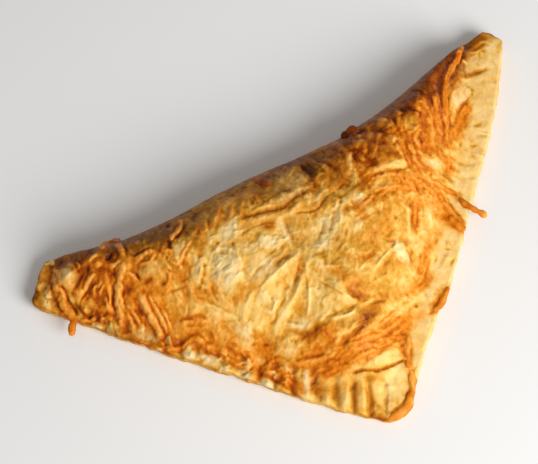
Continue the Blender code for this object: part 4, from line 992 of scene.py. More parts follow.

# Zones painted one over the other: x, y, heading, length, width, browning and cheese, each 0 to 1.
# The dark zones along the fold are partly browning and partly painted shade, where its side turns from the
# lamp.
ZONES = (
    # The left tip.
    (-95, 40, 45, 16, 14, 0.36, 0.20),
    (-96.6, 44, 45, 6, 3, 0.56, 0.20),
    (-93.4, 45.4, -60, 5, 3, 0.24, 0.30),
    (-94, 39, -40, 5, 3, 0.22, 0.10),
    (-88, 47, -60, 13, 8, 0.04, 0.90),
    (-72, 44, -18, 36, 9, 0.70, 0.30),
    (-85, 41, -115, 10, 6, 0.14, 0.10),
    (-77, 41.6, -20, 9, 5, 0.80, 0.60),
    (-77, 34, -60, 15, 15, 0.55, 1.0),
    (-72, 37, -60, 9, 6, 0.68, 0.90),
    (-82.8, 30.2, 20, 6, 4, 0.16, 0.50),
    (-89.6, 33, -100, 16, 5, 0.24, 0.85),
    (-79, 26, -5, 15, 6, 0.54, 1.0),
    (-70, 20, -100, 32, 12, 0.44, 1.0),
    (-63, 17, -95, 32, 11, 0.38, 1.0),
    # The left seam next to it.
    (-84, 22, -45, 12, 4, 0.30, 0.10),
    (-77, 15, -50, 8, 4, 0.36, 0.10),
    (-70, 13, -50, 7, 5, 0.12, 0.20),
    (-73, 16.6, -60, 7, 5, 0.22, 0.80),
    (-68, 9, -50, 5, 4, 0.30, 0.10),
    (-63, 6, -50, 10, 8, 0.34, 0.90),
    (-60.5, 7.5, 0, 4, 4, 0.20, 0.50),
    # The left part of the dome.
    (-59, 27.5, -30, 11, 6, 0.36, 0.20),
    (-53.5, 26.5, -70, 10, 6, 0.40, 0.30),
    (-57, 38, 10, 18, 8, 0.66, 0.05),
    (-45, 38, 10, 13, 6, 0.78, 0.15),
    (-52, 32, 0, 11, 5, 0.70, 0.10),
    (-62.6, 31.4, -60, 9, 4, 0.50, 0.80),
    (-51, 20, -90, 10, 4, 0.42, 0.85),
    (-54, 14, -60, 10, 8, 0.28, 0.50),
    (-47, 28, 60, 8, 5, 0.24, 0.05),
    (-45, 19, 50, 9, 4, 0.24, 0.05),
    (-47.8, 22, -80, 7, 3, 0.38, 0.90),
    (-48, 12, -50, 9, 4, 0.40, 0.70),
    (-42.6, 11, -60, 8, 4, 0.34, 0.50),
    # The left seam down to the front corner.
    (-55, 8, -25, 12, 4, 0.38, 0.95),
    (-53, 0, -45, 20, 9, 0.44, 0.95),
    (-46, 2, -45, 12, 7, 0.18, 0.45),
    (-44, -8, -50, 22, 12, 0.26, 0.80),
    (-42, -13.4, -40, 12, 6, 0.12, 0.95),
    (-38, -20, -20, 14, 6, 0.38, 0.90),
    (-34, -27, -60, 13, 5, 0.16, 0.95),
    (-37.2, -23.4, -50, 6, 3, 0.52, 0.90),
    (-36, -10.6, -50, 11, 5, 0.38, 0.70),
    (-37.4, -13.8, -45, 8, 4, 0.40, 0.98),
    (-42.8, -8.2, -50, 8, 6, 0.05, 0.45),
    (-27, -8.4, 30, 10, 5, 0.08, 0.0),
    # The fold behind the dome.
    (-30, 38, 2, 44, 12, 0.56, 0.0),
    (-3, 32, 5, 17, 13, 0.50, 0.0),
    (5, 26.6, 0, 13, 5, 0.60, 0.25),
    (-8, 28.4, 0, 10, 5, 0.62, 0.0),
    (8, 34, -85, 14, 8, 0.70, 0.05),
    (16, 36, 0, 18, 12, 0.62, 0.0),
    (-15, 34, 0, 12, 9, 0.44, 0.35),
    (-27, 31.6, -130, 12, 8, 0.20, 0.30),
    (-41, 27, -80, 7, 5, 0.46, 0.30),
    (-38, 30, -90, 6, 4, 0.30, 0.50),
    (-32, 30, 0, 6, 4, 0.40, 0.60),
    (-32.6, 36, 0, 8, 6, 0.44, 0.10),
    (-28, 25, 40, 7, 5, 0.08, 0.0),
    (-37.8, 22, 40, 8, 5, 0.10, 0.0),
    (-17, 27.2, 2, 20, 3.6, 0.48, 0.05),
    (-18, 24, -8, 18, 3, 0.20, 0.60),
    # The pale oval flake, the star and the panels behind it.
    (-36, 14, 60, 13, 9, 0.12, 0.0),
    (-26.6, 16.4, 0, 8, 6, 0.12, 0.0),
    (-19, 15, -35, 8, 6, 0.06, 0.0),
    (-16.5, 20.5, 0, 5, 4, 0.46, 0.70),
    (-12.6, 16.4, -95, 9, 5, 0.06, 0.0),
    (-36, 4, 5, 14, 5, 0.26, 0.50),
    (-27.4, 9, 10, 12, 8, 0.12, 0.05),
    (-31, 0.4, -5, 22, 5, 0.09, 0.05),
    (-22, 4.5, 10, 16, 4, 0.12, 0.15),
    (-14, 3, -120, 6, 2.5, 0.34, 0.60),
    (0.4, 21.8, -15, 11, 4, 0.22, 0.20),
    (-6, 17, -20, 10, 5, 0.30, 0.30),
    (6.4, 17.4, 10, 8, 5, 0.44, 0.05),
    (1.6, 11.6, 0, 11, 7, 0.0, 0.0),
    (-6, 5, 20, 10, 4, 0.08, 0.0),
    (-6, 2, 0, 8, 3, 0.36, 0.20),
    (11, 24, 0, 14, 8, 0.36, 0.50),
    (18.4, 17.6, 0, 7, 5, 0.44, 0.50),
    (15.4, 14.4, 0, 4, 4, 0.14, 0.0),
    (13, 8, -90, 12, 5, 0.34, 0.80),
    (19, 12, -5, 22, 4.4, 0.44, 0.80),
    (10, 5.5, 60, 5, 3, 0.06, 0.0),
    (18, 2.6, 0, 16, 9, 0.40, 0.40),
    (7.4, 1, 0, 9, 6, 0.36, 0.10),
    (8, -4.2, 10, 11, 5, 0.42, 0.55),
    (20, -7, -80, 7, 5, 0.09, 0.0),
    (13, -11, -10, 12, 7, 0.42, 0.30),
    # In front of the star.
    (9, -14, 0, 16, 6, 0.32, 0.15),
    (-1.4, -10, -60, 16, 6, 0.42, 0.50),
    (-12, -10, -60, 16, 11, 0.16, 0.0),
    (-9.6, -19.8, -8, 14, 7, 0.52, 0.0),
    (-20, -18.6, -35, 13, 6, 0.66, 0.70),
    (-29, -17.8, -40, 11, 6, 0.36, 0.25),
    (-20, -22, 10, 16, 6, 0.38, 0.95),
    (-4, -22.8, 15, 16, 5, 0.64, 0.50),
    (3, -18.6, 10, 10, 5, 0.50, 0.30),
    (-2.6, -14.2, -50, 7, 3.4, 0.50, 0.50),
    (8, -23.5, 15, 11, 4, 0.12, 0.10),
    (-12, -24.6, 0, 11, 4, 0.44, 0.80),
    (-8, -29, 5, 36, 7, 0.28, 0.95),
    (-23, -28, -10, 14, 5, 0.42, 0.90),
    (-26.6, -33, -60, 9, 5, 0.42, 0.60),
    (-23, -13, -40, 8, 4, 0.20, 0.0),
    (10, -28, 15, 14, 6, 0.32, 0.95),
    (-7, -33, 0, 12, 3, 0.30, 0.90),
    (0.6, -36, -2, 11, 4, 0.06, 0.0),
    # The front corner.
    (-17, -42, -60, 18, 12, 0.31, 0.30),
    (-7.6, -38.4, 0, 10, 4, 0.36, 0.40),
    (-12.4, -38.6, -60, 8, 3, 0.12, 0.20),
    (-13.6, -44.6, -68, 10, 2.6, 0.46, 0.20),
    (-3, -45.4, 0, 12, 11, 0.05, 0.0),
    (6, -36, -110, 12, 5, 0.34, 0.95),
    (7.5, -43, -120, 10, 5, 0.0, 0.05),
    (-5, -54, -10, 14, 3.5, 0.30, 0.40),
    (-13, -52, -45, 7, 3, 0.52, 0.50),
    (13, -34, 45, 8, 5, 0.10, 0.10),
    # The right part of the dome.
    (38, 31, -25, 50, 26, 0.50, 0.75),
    (30, 41, 0, 18, 8, 0.74, 0.50),
    (50, 43, 10, 36, 9, 0.70, 0.45),
    (72, 49, 18, 26, 7, 0.70, 0.40),
    (62, 42, 15, 14, 6, 0.60, 0.45),
    (14, 26.4, -90, 12, 10, 0.56, 0.40),
    (25.5, 27.6, -90, 14, 9, 0.68, 0.95),
    (22, 20.6, -70, 8, 7, 0.50, 1.0),
    (32, 33.4, -20, 18, 8, 0.68, 0.80),
    (22, 36, -10, 10, 6, 0.76, 0.30),
    (40.6, 33, -110, 12, 3, 0.60, 0.95),
    (45, 25, 0, 12, 9, 0.50, 1.0),
    (55, 36.6, 12, 20, 9, 0.92, 0.90),
    (46.8, 31.4, -60, 7, 6, 0.50, 0.20),
    (55, 28, -110, 16, 12, 0.44, 0.95),
    (31.5, 24, -10, 11, 6, 0.48, 0.60),
    (34, 19.5, -15, 7, 2.5, 0.10, 0.10),
    (32.4, 16.4, -15, 8, 3.4, 0.46, 0.70),
    (39.4, 23, -95, 15, 3, 0.48, 0.98),
    (62, 33, -115, 22, 5, 0.62, 1.0),
    (71.5, 36.4, 42, 12, 5, 0.20, 0.0),
    (75, 44.5, 20, 10, 4, 0.40, 0.30),
    (66, 26, 30, 14, 4.5, 0.24, 0.80),
    (28, 15.5, -8, 9, 3, 0.26, 0.40),
    (42, 17, -30, 10, 7, 0.42, 0.95),
    (49, 16.5, -30, 7, 5, 0.14, 0.20),
    (38, 10, -30, 20, 9, 0.30, 1.0),
    (39.5, 9.8, 0, 5, 4, 0.46, 1.0),
    (37, 6.4, -40, 8, 6, 0.32, 1.0),
    # The right seam.
    (43, 2, -70, 18, 9, 0.14, 1.0),
    (45, -4, -80, 10, 5, 0.36, 1.0),
    (31, 2, -125, 12, 4, 0.46, 0.95),
    (37.4, 0.6, -110, 11, 4, 0.30, 0.20),
    (25, 2, -110, 12, 7, 0.30, 0.20),
    (28, 7.5, 0, 14, 5, 0.36, 0.30),
    (33, -7, 25, 20, 5, 0.20, 0.60),
    (27.6, -8.4, 30, 8, 4, 0.10, 0.15),
    (31, -16, 42, 24, 6, 0.0, 0.0),
    (40, -8.8, 40, 10, 5, 0.0, 0.10),
    (27, -12, 45, 14, 4, 0.32, 0.85),
    (22, -18.5, 15, 14, 4, 0.34, 0.90),
    (17, -28, 15, 10, 5, 0.14, 0.80),
    (17.5, -23.6, 0, 8, 5, 0.12, 0.30),
    (16.6, -32, 38, 12, 5, 0.0, 0.10),
    (25.5, -26.4, 35, 12, 5, 0.38, 1.0),
    (49.5, 1.5, -80, 8, 2.4, 0.08, 0.20),
    (51.5, 2, -75, 10, 2.4, 0.40, 0.95),
    (54, 15.4, -50, 9, 2.2, 0.26, 0.90),
    (58.4, 17, -40, 9, 5, 0.12, 0.30),
    # The right tip.
    (77, 36.5, -50, 10, 6, 0.14, 0.10),
    (85, 47, 10, 18, 7, 0.24, 0.0),
    (86, 36, 50, 15, 7, 0.04, 0.35),
    (82, 42.6, -8, 11, 2.6, 0.44, 0.40),
    # The darkest zones along the back of the tip, here and below, are painted shade more than browning.
    (82, 52.8, 12, 16, 7, 0.88, 0.10),
    (90, 54, 2, 18, 5, 0.62, 0.30),
    (89, 50.8, 4, 13, 3, 0.46, 0.40),
    (96, 53, -50, 9, 4, 0.46, 0.30),
    (72, 47, 24, 22, 8, 0.94, 0.50),
    (63, 42.5, 20, 13, 6, 0.74, 0.60),
    (96.5, 48, 60, 8, 3, 0.24, 0.0),
)

# Where a zone fades out, as a share of its size.
ZONE_EDGE = (0.35, 1.45)

# Where the outermost leaf stayed dry and cream-coloured: middle x, y, heading, length, width and share.
DRY_LEAVES = (
    (-36.5, 14, 60, 15, 10, 0.55),
    (-29, 26, 40, 9, 5, 0.7),
    (-20, 15, -35, 9, 5, 0.5),
    (-5, 27, -2, 16, 4, 0.45),
    (-3, 31, 5, 15, 10, 0.35),
    (-3, 7, 15, 12, 5, 0.4),
    (20, -8, -80, 9, 5, 0.35),
    (-9, -20.6, -8, 12, 5, 0.12),
    (-40.6, -5.4, -60, 8, 4, 0.4),
    (-30, -17, -40, 8, 5, 0.35),
    (-29, -28.6, 60, 9, 3, 0.9),
    (-23, -13, -40, 8, 4, 0.4),
    (94, 50, 30, 8, 4, 0.3),
    (-41.5, -23.5, -62, 7, 4, 0.95),
    (-54, -6.6, -50, 7, 3.5, 0.9),
    (-46.4, -16.6, -60, 6, 3, 0.8),
    (-60, -1, -45, 6, 3, 0.8),
    (-70.6, 12.8, -50, 8, 3, 0.7),
    (-67.4, 9.4, -50, 4, 2.4, 0.8),
    (-79.5, 20, -50, 6, 3, 0.3),
    (-83.2, 24, -50, 5, 3, 0.6),
    (-33.6, -33.4, -60, 6, 3, 0.7),
    (72.4, 36.6, 42, 13, 6, 0.75),
    (82, 46, 20, 12, 6, 0.4),
    (15, 14, 0, 5, 5, 0.6),
    (47, 17, -30, 8, 5, 0.5),
    (51, 1, -80, 8, 3, 0.6),
    (-84, 41, -60, 8, 4, 0.3),
    (-94, 37, -80, 9, 6, 0.15),
    (-12.6, 16, -95, 9, 4, 0.4),
    (-27, 9, 10, 12, 7, 0.3),
    (-59, 28, -30, 9, 5, 0.25),
    (-48, 27, 60, 8, 4, 0.4),
    (-45, 19, 50, 7, 3, 0.5),
    (6, 13, 60, 8, 4, 0.4),
    (1.6, 11.6, 0, 8, 5, 0.3),
)
LEAF_EDGE = (0.6, 1.2)


def dried(points, ragged):
    """Share of dry cream-coloured leaf on the upper sheet."""
    share = np.zeros(len(points))
    for x, y, heading, length, width, strength in DRY_LEAVES:
        along, across = turned(points, x, y, heading)
        reach = np.sqrt((2 * along / length) ** 2 + (2 * across / width) ** 2)
        share = np.maximum(share, strength * (1.0 - smoothstep(*LEAF_EDGE, reach + 0.25 * ragged)))
    return share


def painted(plan, ragged):
    """Browning and cheese of the upper sheet: the oven's general browning, then the zones over it."""
    points = plan.points
    browning = DOME_BROWNING + 0.05 * noise_at(points, 13.0, 11) + 0.06 * noise_at(points, 4.0, 12)
    cheese = DOME_CHEESE + 0.15 * noise_at(points, 9.0, 13)
    towards_fold = 1.0 - smoothstep(*FOLD_FADE, plan.from_fold + 3.0 * ragged)
    browning = browning + (FOLD_BROWNING_AND_SHADE - browning) * towards_fold
    pale = 1.0 - smoothstep(*RIGHT_FLANGE_FADE, plan.from_right / plan.right_flange + 0.1 * ragged)
    browning = browning + (RIGHT_FLANGE_BROWNING - browning) * pale
    cheese = cheese * (1.0 - pale)
    tan = 1.0 - smoothstep(*LEFT_FLANGE_FADE, plan.from_left / plan.left_flange + 0.1 * ragged)
    browning = browning + (LEFT_FLANGE_BROWNING + 0.14 * ragged - browning) * 0.8 * tan
    cheese = cheese * (1.0 - 0.7 * tan)
    for x, y, heading, length, width, zone_browning, zone_cheese in ZONES:
        reach = 0.75 * max(length, width) + 1.0
        chosen = near(points, (x - reach, y - reach), (x + reach, y + reach))
        along, across = turned(points[chosen], x, y, heading)
        reach = np.sqrt((2 * along / length) ** 2 + (2 * across / width) ** 2)
        share = 1.0 - smoothstep(*ZONE_EDGE, reach + 0.25 * ragged[chosen])
        browning[chosen] += (zone_browning - browning[chosen]) * share
        cheese[chosen] += (zone_cheese - cheese[chosen]) * share
    oily = 0.20 * noise_at(points, 4.0, 14) + 0.16 * noise_at(points, 1.7, 15)
    browning = browning + 0.06 * noise_at(points, 2.6, 16) + 0.07 * noise_at(points, 6.5, 17)
    return browning, np.clip(cheese + oily * (1.0 - 0.7 * pale), 0.0, 1.0)


# ------------------------------------------------------------------------------------------------------
# The pastry itself: two sheets of one layered dough, baked through on a flat tray. It is one closed mesh,
# the upper sheet on a fine triangular grid with all of the above, the side, where the baked leaves show
# as thin layers, and the flat underside.
# ------------------------------------------------------------------------------------------------------

# A millimetre in the metres of the mesh.
MM = 0.001

# Spacing of the grids on top and underneath, rings of the side, and how the upper edge is rounded off.
TOP_GRID = EDGE_SPACING
BASE_GRID = 3.0
SIDE_RINGS = 14
EDGE_ROUNDING = 1.4
RIM_DROP = 0.8

# Side of the puff from the rim down: share of the rim's height, and how far in from the edge.
SEAM_PROFILE = ((1.0, 0.0), (0.85, -0.3), (0.58, -0.1), (0.50, 0.9), (0.42, -0.2), (0.0, 0.6))
FOLD_PROFILE = ((1.0, 0.0), (0.82, 0.0), (0.60, 0.5), (0.40, 1.5), (0.18, 3.2), (0.0, 5.0))

# Thickness of a leaf in the side, how far one steps in from the next, and the colours below the rim.
LEAF_THICKNESS = 0.75
LEAF_STEP = 0.22
SIDE_BROWNING = 0.36
SIDE_LEAF = 0.3
BASE_BROWNING = 0.5

# Relief of the skin in millimetres: creases, pleats and crumples of bare dough; lumps, blisters and
# streaks of melted cheese; fine grain on both; and the share of it all that the pressed flanges keep.
CREASE = 0.14
PLEAT = 0.20
CRUMPLE = 0.9
LUMP = 0.22
BLISTER = 0.22
STREAK = 0.11
GRAIN = 0.10
FLANGE_RELIEF = 0.35

# Puffed pads between the fork marks: height, and how far from the front corner they set in.
PAD_HEIGHT = 0.8
PADS_SET_IN = (24.0, 44.0)

# How brown a dried leaf is, and how much paler crests of cheese are painted than its creases, as painted
# light and painted shade.
LEAF_BROWNING = 0.12
CHEESE_PAINTED_SHADE = 0.10


def blisters(points, size, seed):
    """Rounded bumps that touch each other, 1 at their tops and 0 between them."""
    places = points / size + seed * 7.3
    gaps = np.array([noise.voronoi(Vector((x, y, 0.0)))[0][:2] for x, y in places])
    return smoothstep(0.0, 0.7, gaps[:, 1] - gaps[:, 0])


def crests(values, width):
    """Thin ridges where the values pass through zero."""
    return np.clip(1.0 - np.abs(values) / width, 0.0, 1.0) ** 2


def skin(points, ragged, cheese, flow):
    """Small relief all over: buckled leaves where the dough is bare, lumps where cheese melted on it."""
    warped = points + 1.1 * ragged[:, None]
    creases = 1.0 - smoothstep(0.0, 0.3, np.abs(noise_at(points + 1.2 * ragged[:, None], 4.5, 33)))
    pleats = crests(streaks(points, 1.3, 8.0, 62), 0.6)
    crumples = 0.55 * crests(noise_at(warped, 9.0, 36), 1.0) + 0.35 * crests(noise_at(warped, 4.2, 37), 0.8)
    relief = GRAIN * noise_at(points, 2.4, 34) - CREASE * creases
    lumps = LUMP * noise_at(warped, 3.4, 43) + BLISTER * blisters(warped, 2.0, 35)
    lumps = lumps + GRAIN * noise_at(points, 0.9, 40)
    relief = relief + cheese * (STREAK * flow + lumps)
    return relief + (1.0 - cheese) * (PLEAT * pleats + CRUMPLE * crumples)


def sheet_values(points):
    """The upper sheet at places of the plan: its values, and how far its open edges are."""
    plan = Plan(points)
    ragged = 0.6 * noise_at(points, 2.2, 31) + 0.5 * noise_at(points, 1.0, 32)
    browning, cheese = painted(plan, ragged)
    height = body_height(plan)
    add_flakes(height, points, ragged)
    flow = streaks(points, 1.4, 6.0, 61)
    off_flange = np.minimum(plan.from_left / plan.left_flange, plan.from_right / plan.right_flange)
    lively = FLANGE_RELIEF + (1.0 - FLANGE_RELIEF) * smoothstep(0.8, 1.4, off_flange)
    height += lively * skin(points, ragged, cheese, flow)
    # Raised streaks of cheese are painted a little lighter: painted light.
    browning = browning - 0.04 * cheese * flow
    padded = 1.0 - smoothstep(0.85, 1.15, plan.from_left / plan.left_flange + 0.1 * ragged)
    padded = padded * smoothstep(*PADS_SET_IN, plan.left_to_corner)
    pads = blisters(points + 1.2 * ragged[:, None], 5.4, 38)
    height += PAD_HEIGHT * padded * (pads - 0.5)
    # Darker between the pads and paler on their tops: painted shade in the hollows and painted light on the
    # puffs.
    browning = browning + 0.22 * padded * (0.6 - pads)
    leaf = np.maximum(dried(points, ragged), 0.9 * padded * smoothstep(0.3, 0.8, pads))
    browning = browning + (LEAF_BROWNING - browning) * 0.6 * leaf
    cheese = cheese * (1.0 - 0.7 * leaf)
    sheet = {"height": height, "browning": browning, "cheese": cheese, "leaf": leaf}
    trace(sheet, points, small_folds, firmness=0.0)
    trace(sheet, points, traced_folds, firmness=0.0)
    trace(sheet, points, soft_ridges, firmness=0.3)
    return sheet, np.minimum(plan.from_left, plan.from_right)


def filled(loop, spacing):
    """Points and triangles that fill a loop with a triangular grid; the loop's points come first."""
    low, high = loop.min(0), loop.max(0)
    rows = np.arange(low[1], high[1], spacing * math.sqrt(0.75))
    grid = [(x + spacing / 2 * (k % 2), y) for k, y in enumerate(rows)
            for x in np.arange(low[0], high[0], spacing)]
    grid = np.array(grid)
    grid = grid[inside(grid, loop)]
    gap, _ = distance_and_arc(grid, np.vstack([loop[::4], loop[:1]]))
    points = np.vstack([loop, grid[gap > 0.6 * spacing]])
    edges = [(k, (k + 1) % len(loop)) for k in range(len(loop))]
    _, _, faces, origin, _, _ = delaunay_2d_cdt([Vector(p) for p in points], edges, [], 1, 0.001)
    order = np.array([found[0] for found in origin])
    return points, order[np.array(faces)]


def averaged(values, pairs, rounds):
    """Values averaged with those of the neighbouring vertices, a number of times."""
    count = np.bincount(pairs.ravel(), minlength=len(values)) + 1.0
    for _ in range(rounds):
        total = values + np.bincount(pairs[:, 0], values[pairs[:, 1]], len(values))
        total = total + np.bincount(pairs[:, 1], values[pairs[:, 0]], len(values))
        values = total / count
    return values


def crest_share(height, faces):
    """1 on crests and 0 in creases, from how far the sheet lies over its near and its wide surroundings."""
    pairs = np.unique(np.sort(np.vstack([faces[:, :2], faces[:, 1:]]), axis=1), axis=0)
    fine, broad = (height - averaged(height, pairs, rounds) for rounds in (8, 60))
    return np.clip(0.5 + 1.6 * fine + 0.35 * broad, 0.0, 1.0)


def side_rings(sheet, rim):
    """Rings of vertices from the rim down to the tray, and their values."""
    count = len(OUTLINE)
    folded = smoothstep(0.5, 12.0, from_cuts(OUTLINE))
    normals = outward_normals(OUTLINE)
    around = arc_lengths(OUTLINE)
    rim_browning, rim_cheese, rim_leaf = (sheet[key][:count] for key in ("browning", "cheese", "leaf"))
    rings, values = [], []
    for share in np.linspace(1.0, 0.0, SIDE_RINGS + 1)[1:]:
        seam_in = np.interp(share, *np.array(SEAM_PROFILE)[::-1].T)
        fold_in = np.interp(share, *np.array(FOLD_PROFILE)[::-1].T)
        z = rim * share
        layer = np.column_stack([around / 4.0, z / LEAF_THICKNESS])
        leaves = LEAF_STEP * (1.2 + noise_at(layer, 1.0, 41)) * (1.0 - 0.6 * folded)
        inset = seam_in + (fold_in - seam_in) * folded + leaves
        rings.append(np.column_stack([OUTLINE - normals * inset[:, None], z]))
        side_browning = SIDE_BROWNING + 0.12 * noise_at(layer, 1.0, 42)
        values.append({
            "browning": side_browning + (rim_browning - side_browning) * share**3,
            "cheese": rim_cheese * smoothstep(0.3, 1.0, share),
            "leaf": SIDE_LEAF + (rim_leaf - SIDE_LEAF) * share**2,
        })
    return rings, values


def side_faces(first):
    """Faces between the rings, whose vertices start at the given number, and the numbers of the last."""
    count = len(OUTLINE)
    faces, above = [], np.arange(count)
    for ring in range(SIDE_RINGS):
        below = first + ring * count + np.arange(count)
        for k in range(count):
            after = (k + 1) % count
            faces.append((above[k], below[k], below[after], above[after]))
        above = below
    return faces, above


def new_piece(name, vertices, faces, attributes):
    """Makes a smooth mesh object from vertices in millimetres, with named values at its vertices."""
    data = bpy.data.meshes.new(name)
    data.from_pydata((np.asarray(vertices) * MM).tolist(), [], faces)
    for key, values in attributes.items():
        made = data.attributes.new(key, "FLOAT", "POINT")
        made.data.foreach_set("value", np.asarray(values, np.float32))
    data.shade_smooth()
    piece = bpy.data.objects.new(name, data)
    bpy.context.scene.collection.objects.link(piece)
    return piece


def pastry():
    """The pastry as one closed mesh, with its browning, cheese, dry leaf and crests at its vertices."""
    top, top_faces = filled(OUTLINE, TOP_GRID)
    sheet, seam_edge = sheet_values(top)
    melt_in(sheet, top)
    height = sheet["height"] - RIM_DROP * (1.0 - smoothstep(0.0, EDGE_ROUNDING, seam_edge)) ** 2
    count = len(OUTLINE)
    rings, ring_values = side_rings(sheet, height[:count])
    wall_faces, last_ring = side_faces(len(top))
    base, base_faces = filled(rings[-1][:, :2], BASE_GRID)
    base = base[count:]
    numbers = np.concatenate([last_ring, last_ring[-1] + 1 + np.arange(len(base))])
    faces = [tuple(face) for face in top_faces] + wall_faces
    faces += [tuple(numbers[face[::-1]]) for face in base_faces]
    underside = np.column_stack([base, np.zeros(len(base))])
    vertices = np.vstack([np.column_stack([top, height]), *rings, underside])
    attributes = {}
    for key, base_value in (("browning", BASE_BROWNING), ("cheese", 0.0), ("leaf", 0.0)):
        parts = [sheet[key], *(ring[key] for ring in ring_values), np.full(len(base), base_value)]
        attributes[key] = np.concatenate(parts)
    crest = np.full(len(vertices), 0.5)
    crest[: len(top)] = crest_share(height, top_faces)
    # Cheese is painted lighter on its crests and darker in its creases: painted light and painted shade.
    attributes["browning"] -= CHEESE_PAINTED_SHADE * attributes["cheese"] * (crest - 0.5)
    attributes = {key: np.clip(part, 0.0, 1.0) for key, part in attributes.items()}
    attributes["crest"] = crest
    return new_piece("puff_pastry", vertices, faces, attributes)


def linear(colour):
    """An sRGB hex colour as linear red, green and blue."""
    parts = [int(colour[k : k + 2], 16) / 255 for k in (1, 3, 5)]
    return [c / 12.92 if c <= 0.04045 else ((c + 0.055) / 1.055) ** 2.4 for c in parts]


def node(tree, kind, settings=None, links=None):
    """Adds a node with its settings, and links its inputs to outputs or sets them to values."""
    made = tree.nodes.new(kind)
    for key, value in (settings or {}).items():
        setattr(made, key, value)
    for key, value in (links or {}).items():
        if isinstance(value, bpy.types.NodeSocket):
            tree.links.new(value, made.inputs[key])
        else:
            made.inputs[key].default_value = value
    return made


# Colours from barely baked to burnt: of dough, of the cheese that melted on it, and of dried-out leaves.
DOUGH_COLOURS = (
    (0.0, "#FDD489"), (0.15, "#F2C267"), (0.30, "#DDA23C"), (0.45, "#BE7E1E"), (0.60, "#95590E"),
    (0.75, "#6C3906"), (0.90, "#472104"), (1.0, "#2D1002"),
)
CHEESE_COLOURS = (
    (0.0, "#FBC064"), (0.20, "#F09E3C"), (0.35, "#DE8017"), (0.50, "#C46208"), (0.65, "#A04403"),
    (0.80, "#752802"), (1.0, "#3C0F00"),
)
LEAF_COLOURS = (
    (0.0, "#F7E2AE"), (0.20, "#E9CB8E"), (0.40, "#CBA05E"), (0.60, "#A0763A"), (0.80, "#6A4518"),
    (1.0, "#3A1F08"),
)

# What the oven leaves in the surface: patches of browning as wide as its bubbles of 2 mm, and pores of a
# few tenths of a millimetre, drawn at 0.7 mm so that they show.
MOTTLE_SIZE = 2.0
MOTTLING = 0.40
PORE_SIZE = 0.7
PORE_DEPTH = 0.25

# Butterfat gives the shine. On a rough crust it is weak and warm, and where cheese melted it is smoother.
BUTTERFAT_IOR = 1.46
SHINE = 0.22
WARM_HIGHLIGHT = "#FFDDB0"
CHEESE_SMOOTHNESS = 0.18

# Light gets a little way into the fat, red the farthest: millimetres of red, green and blue, times 1.2.
FAT_DEPTHS = (1.0, 0.45, 0.15)
FAT_SCALE = 1.2


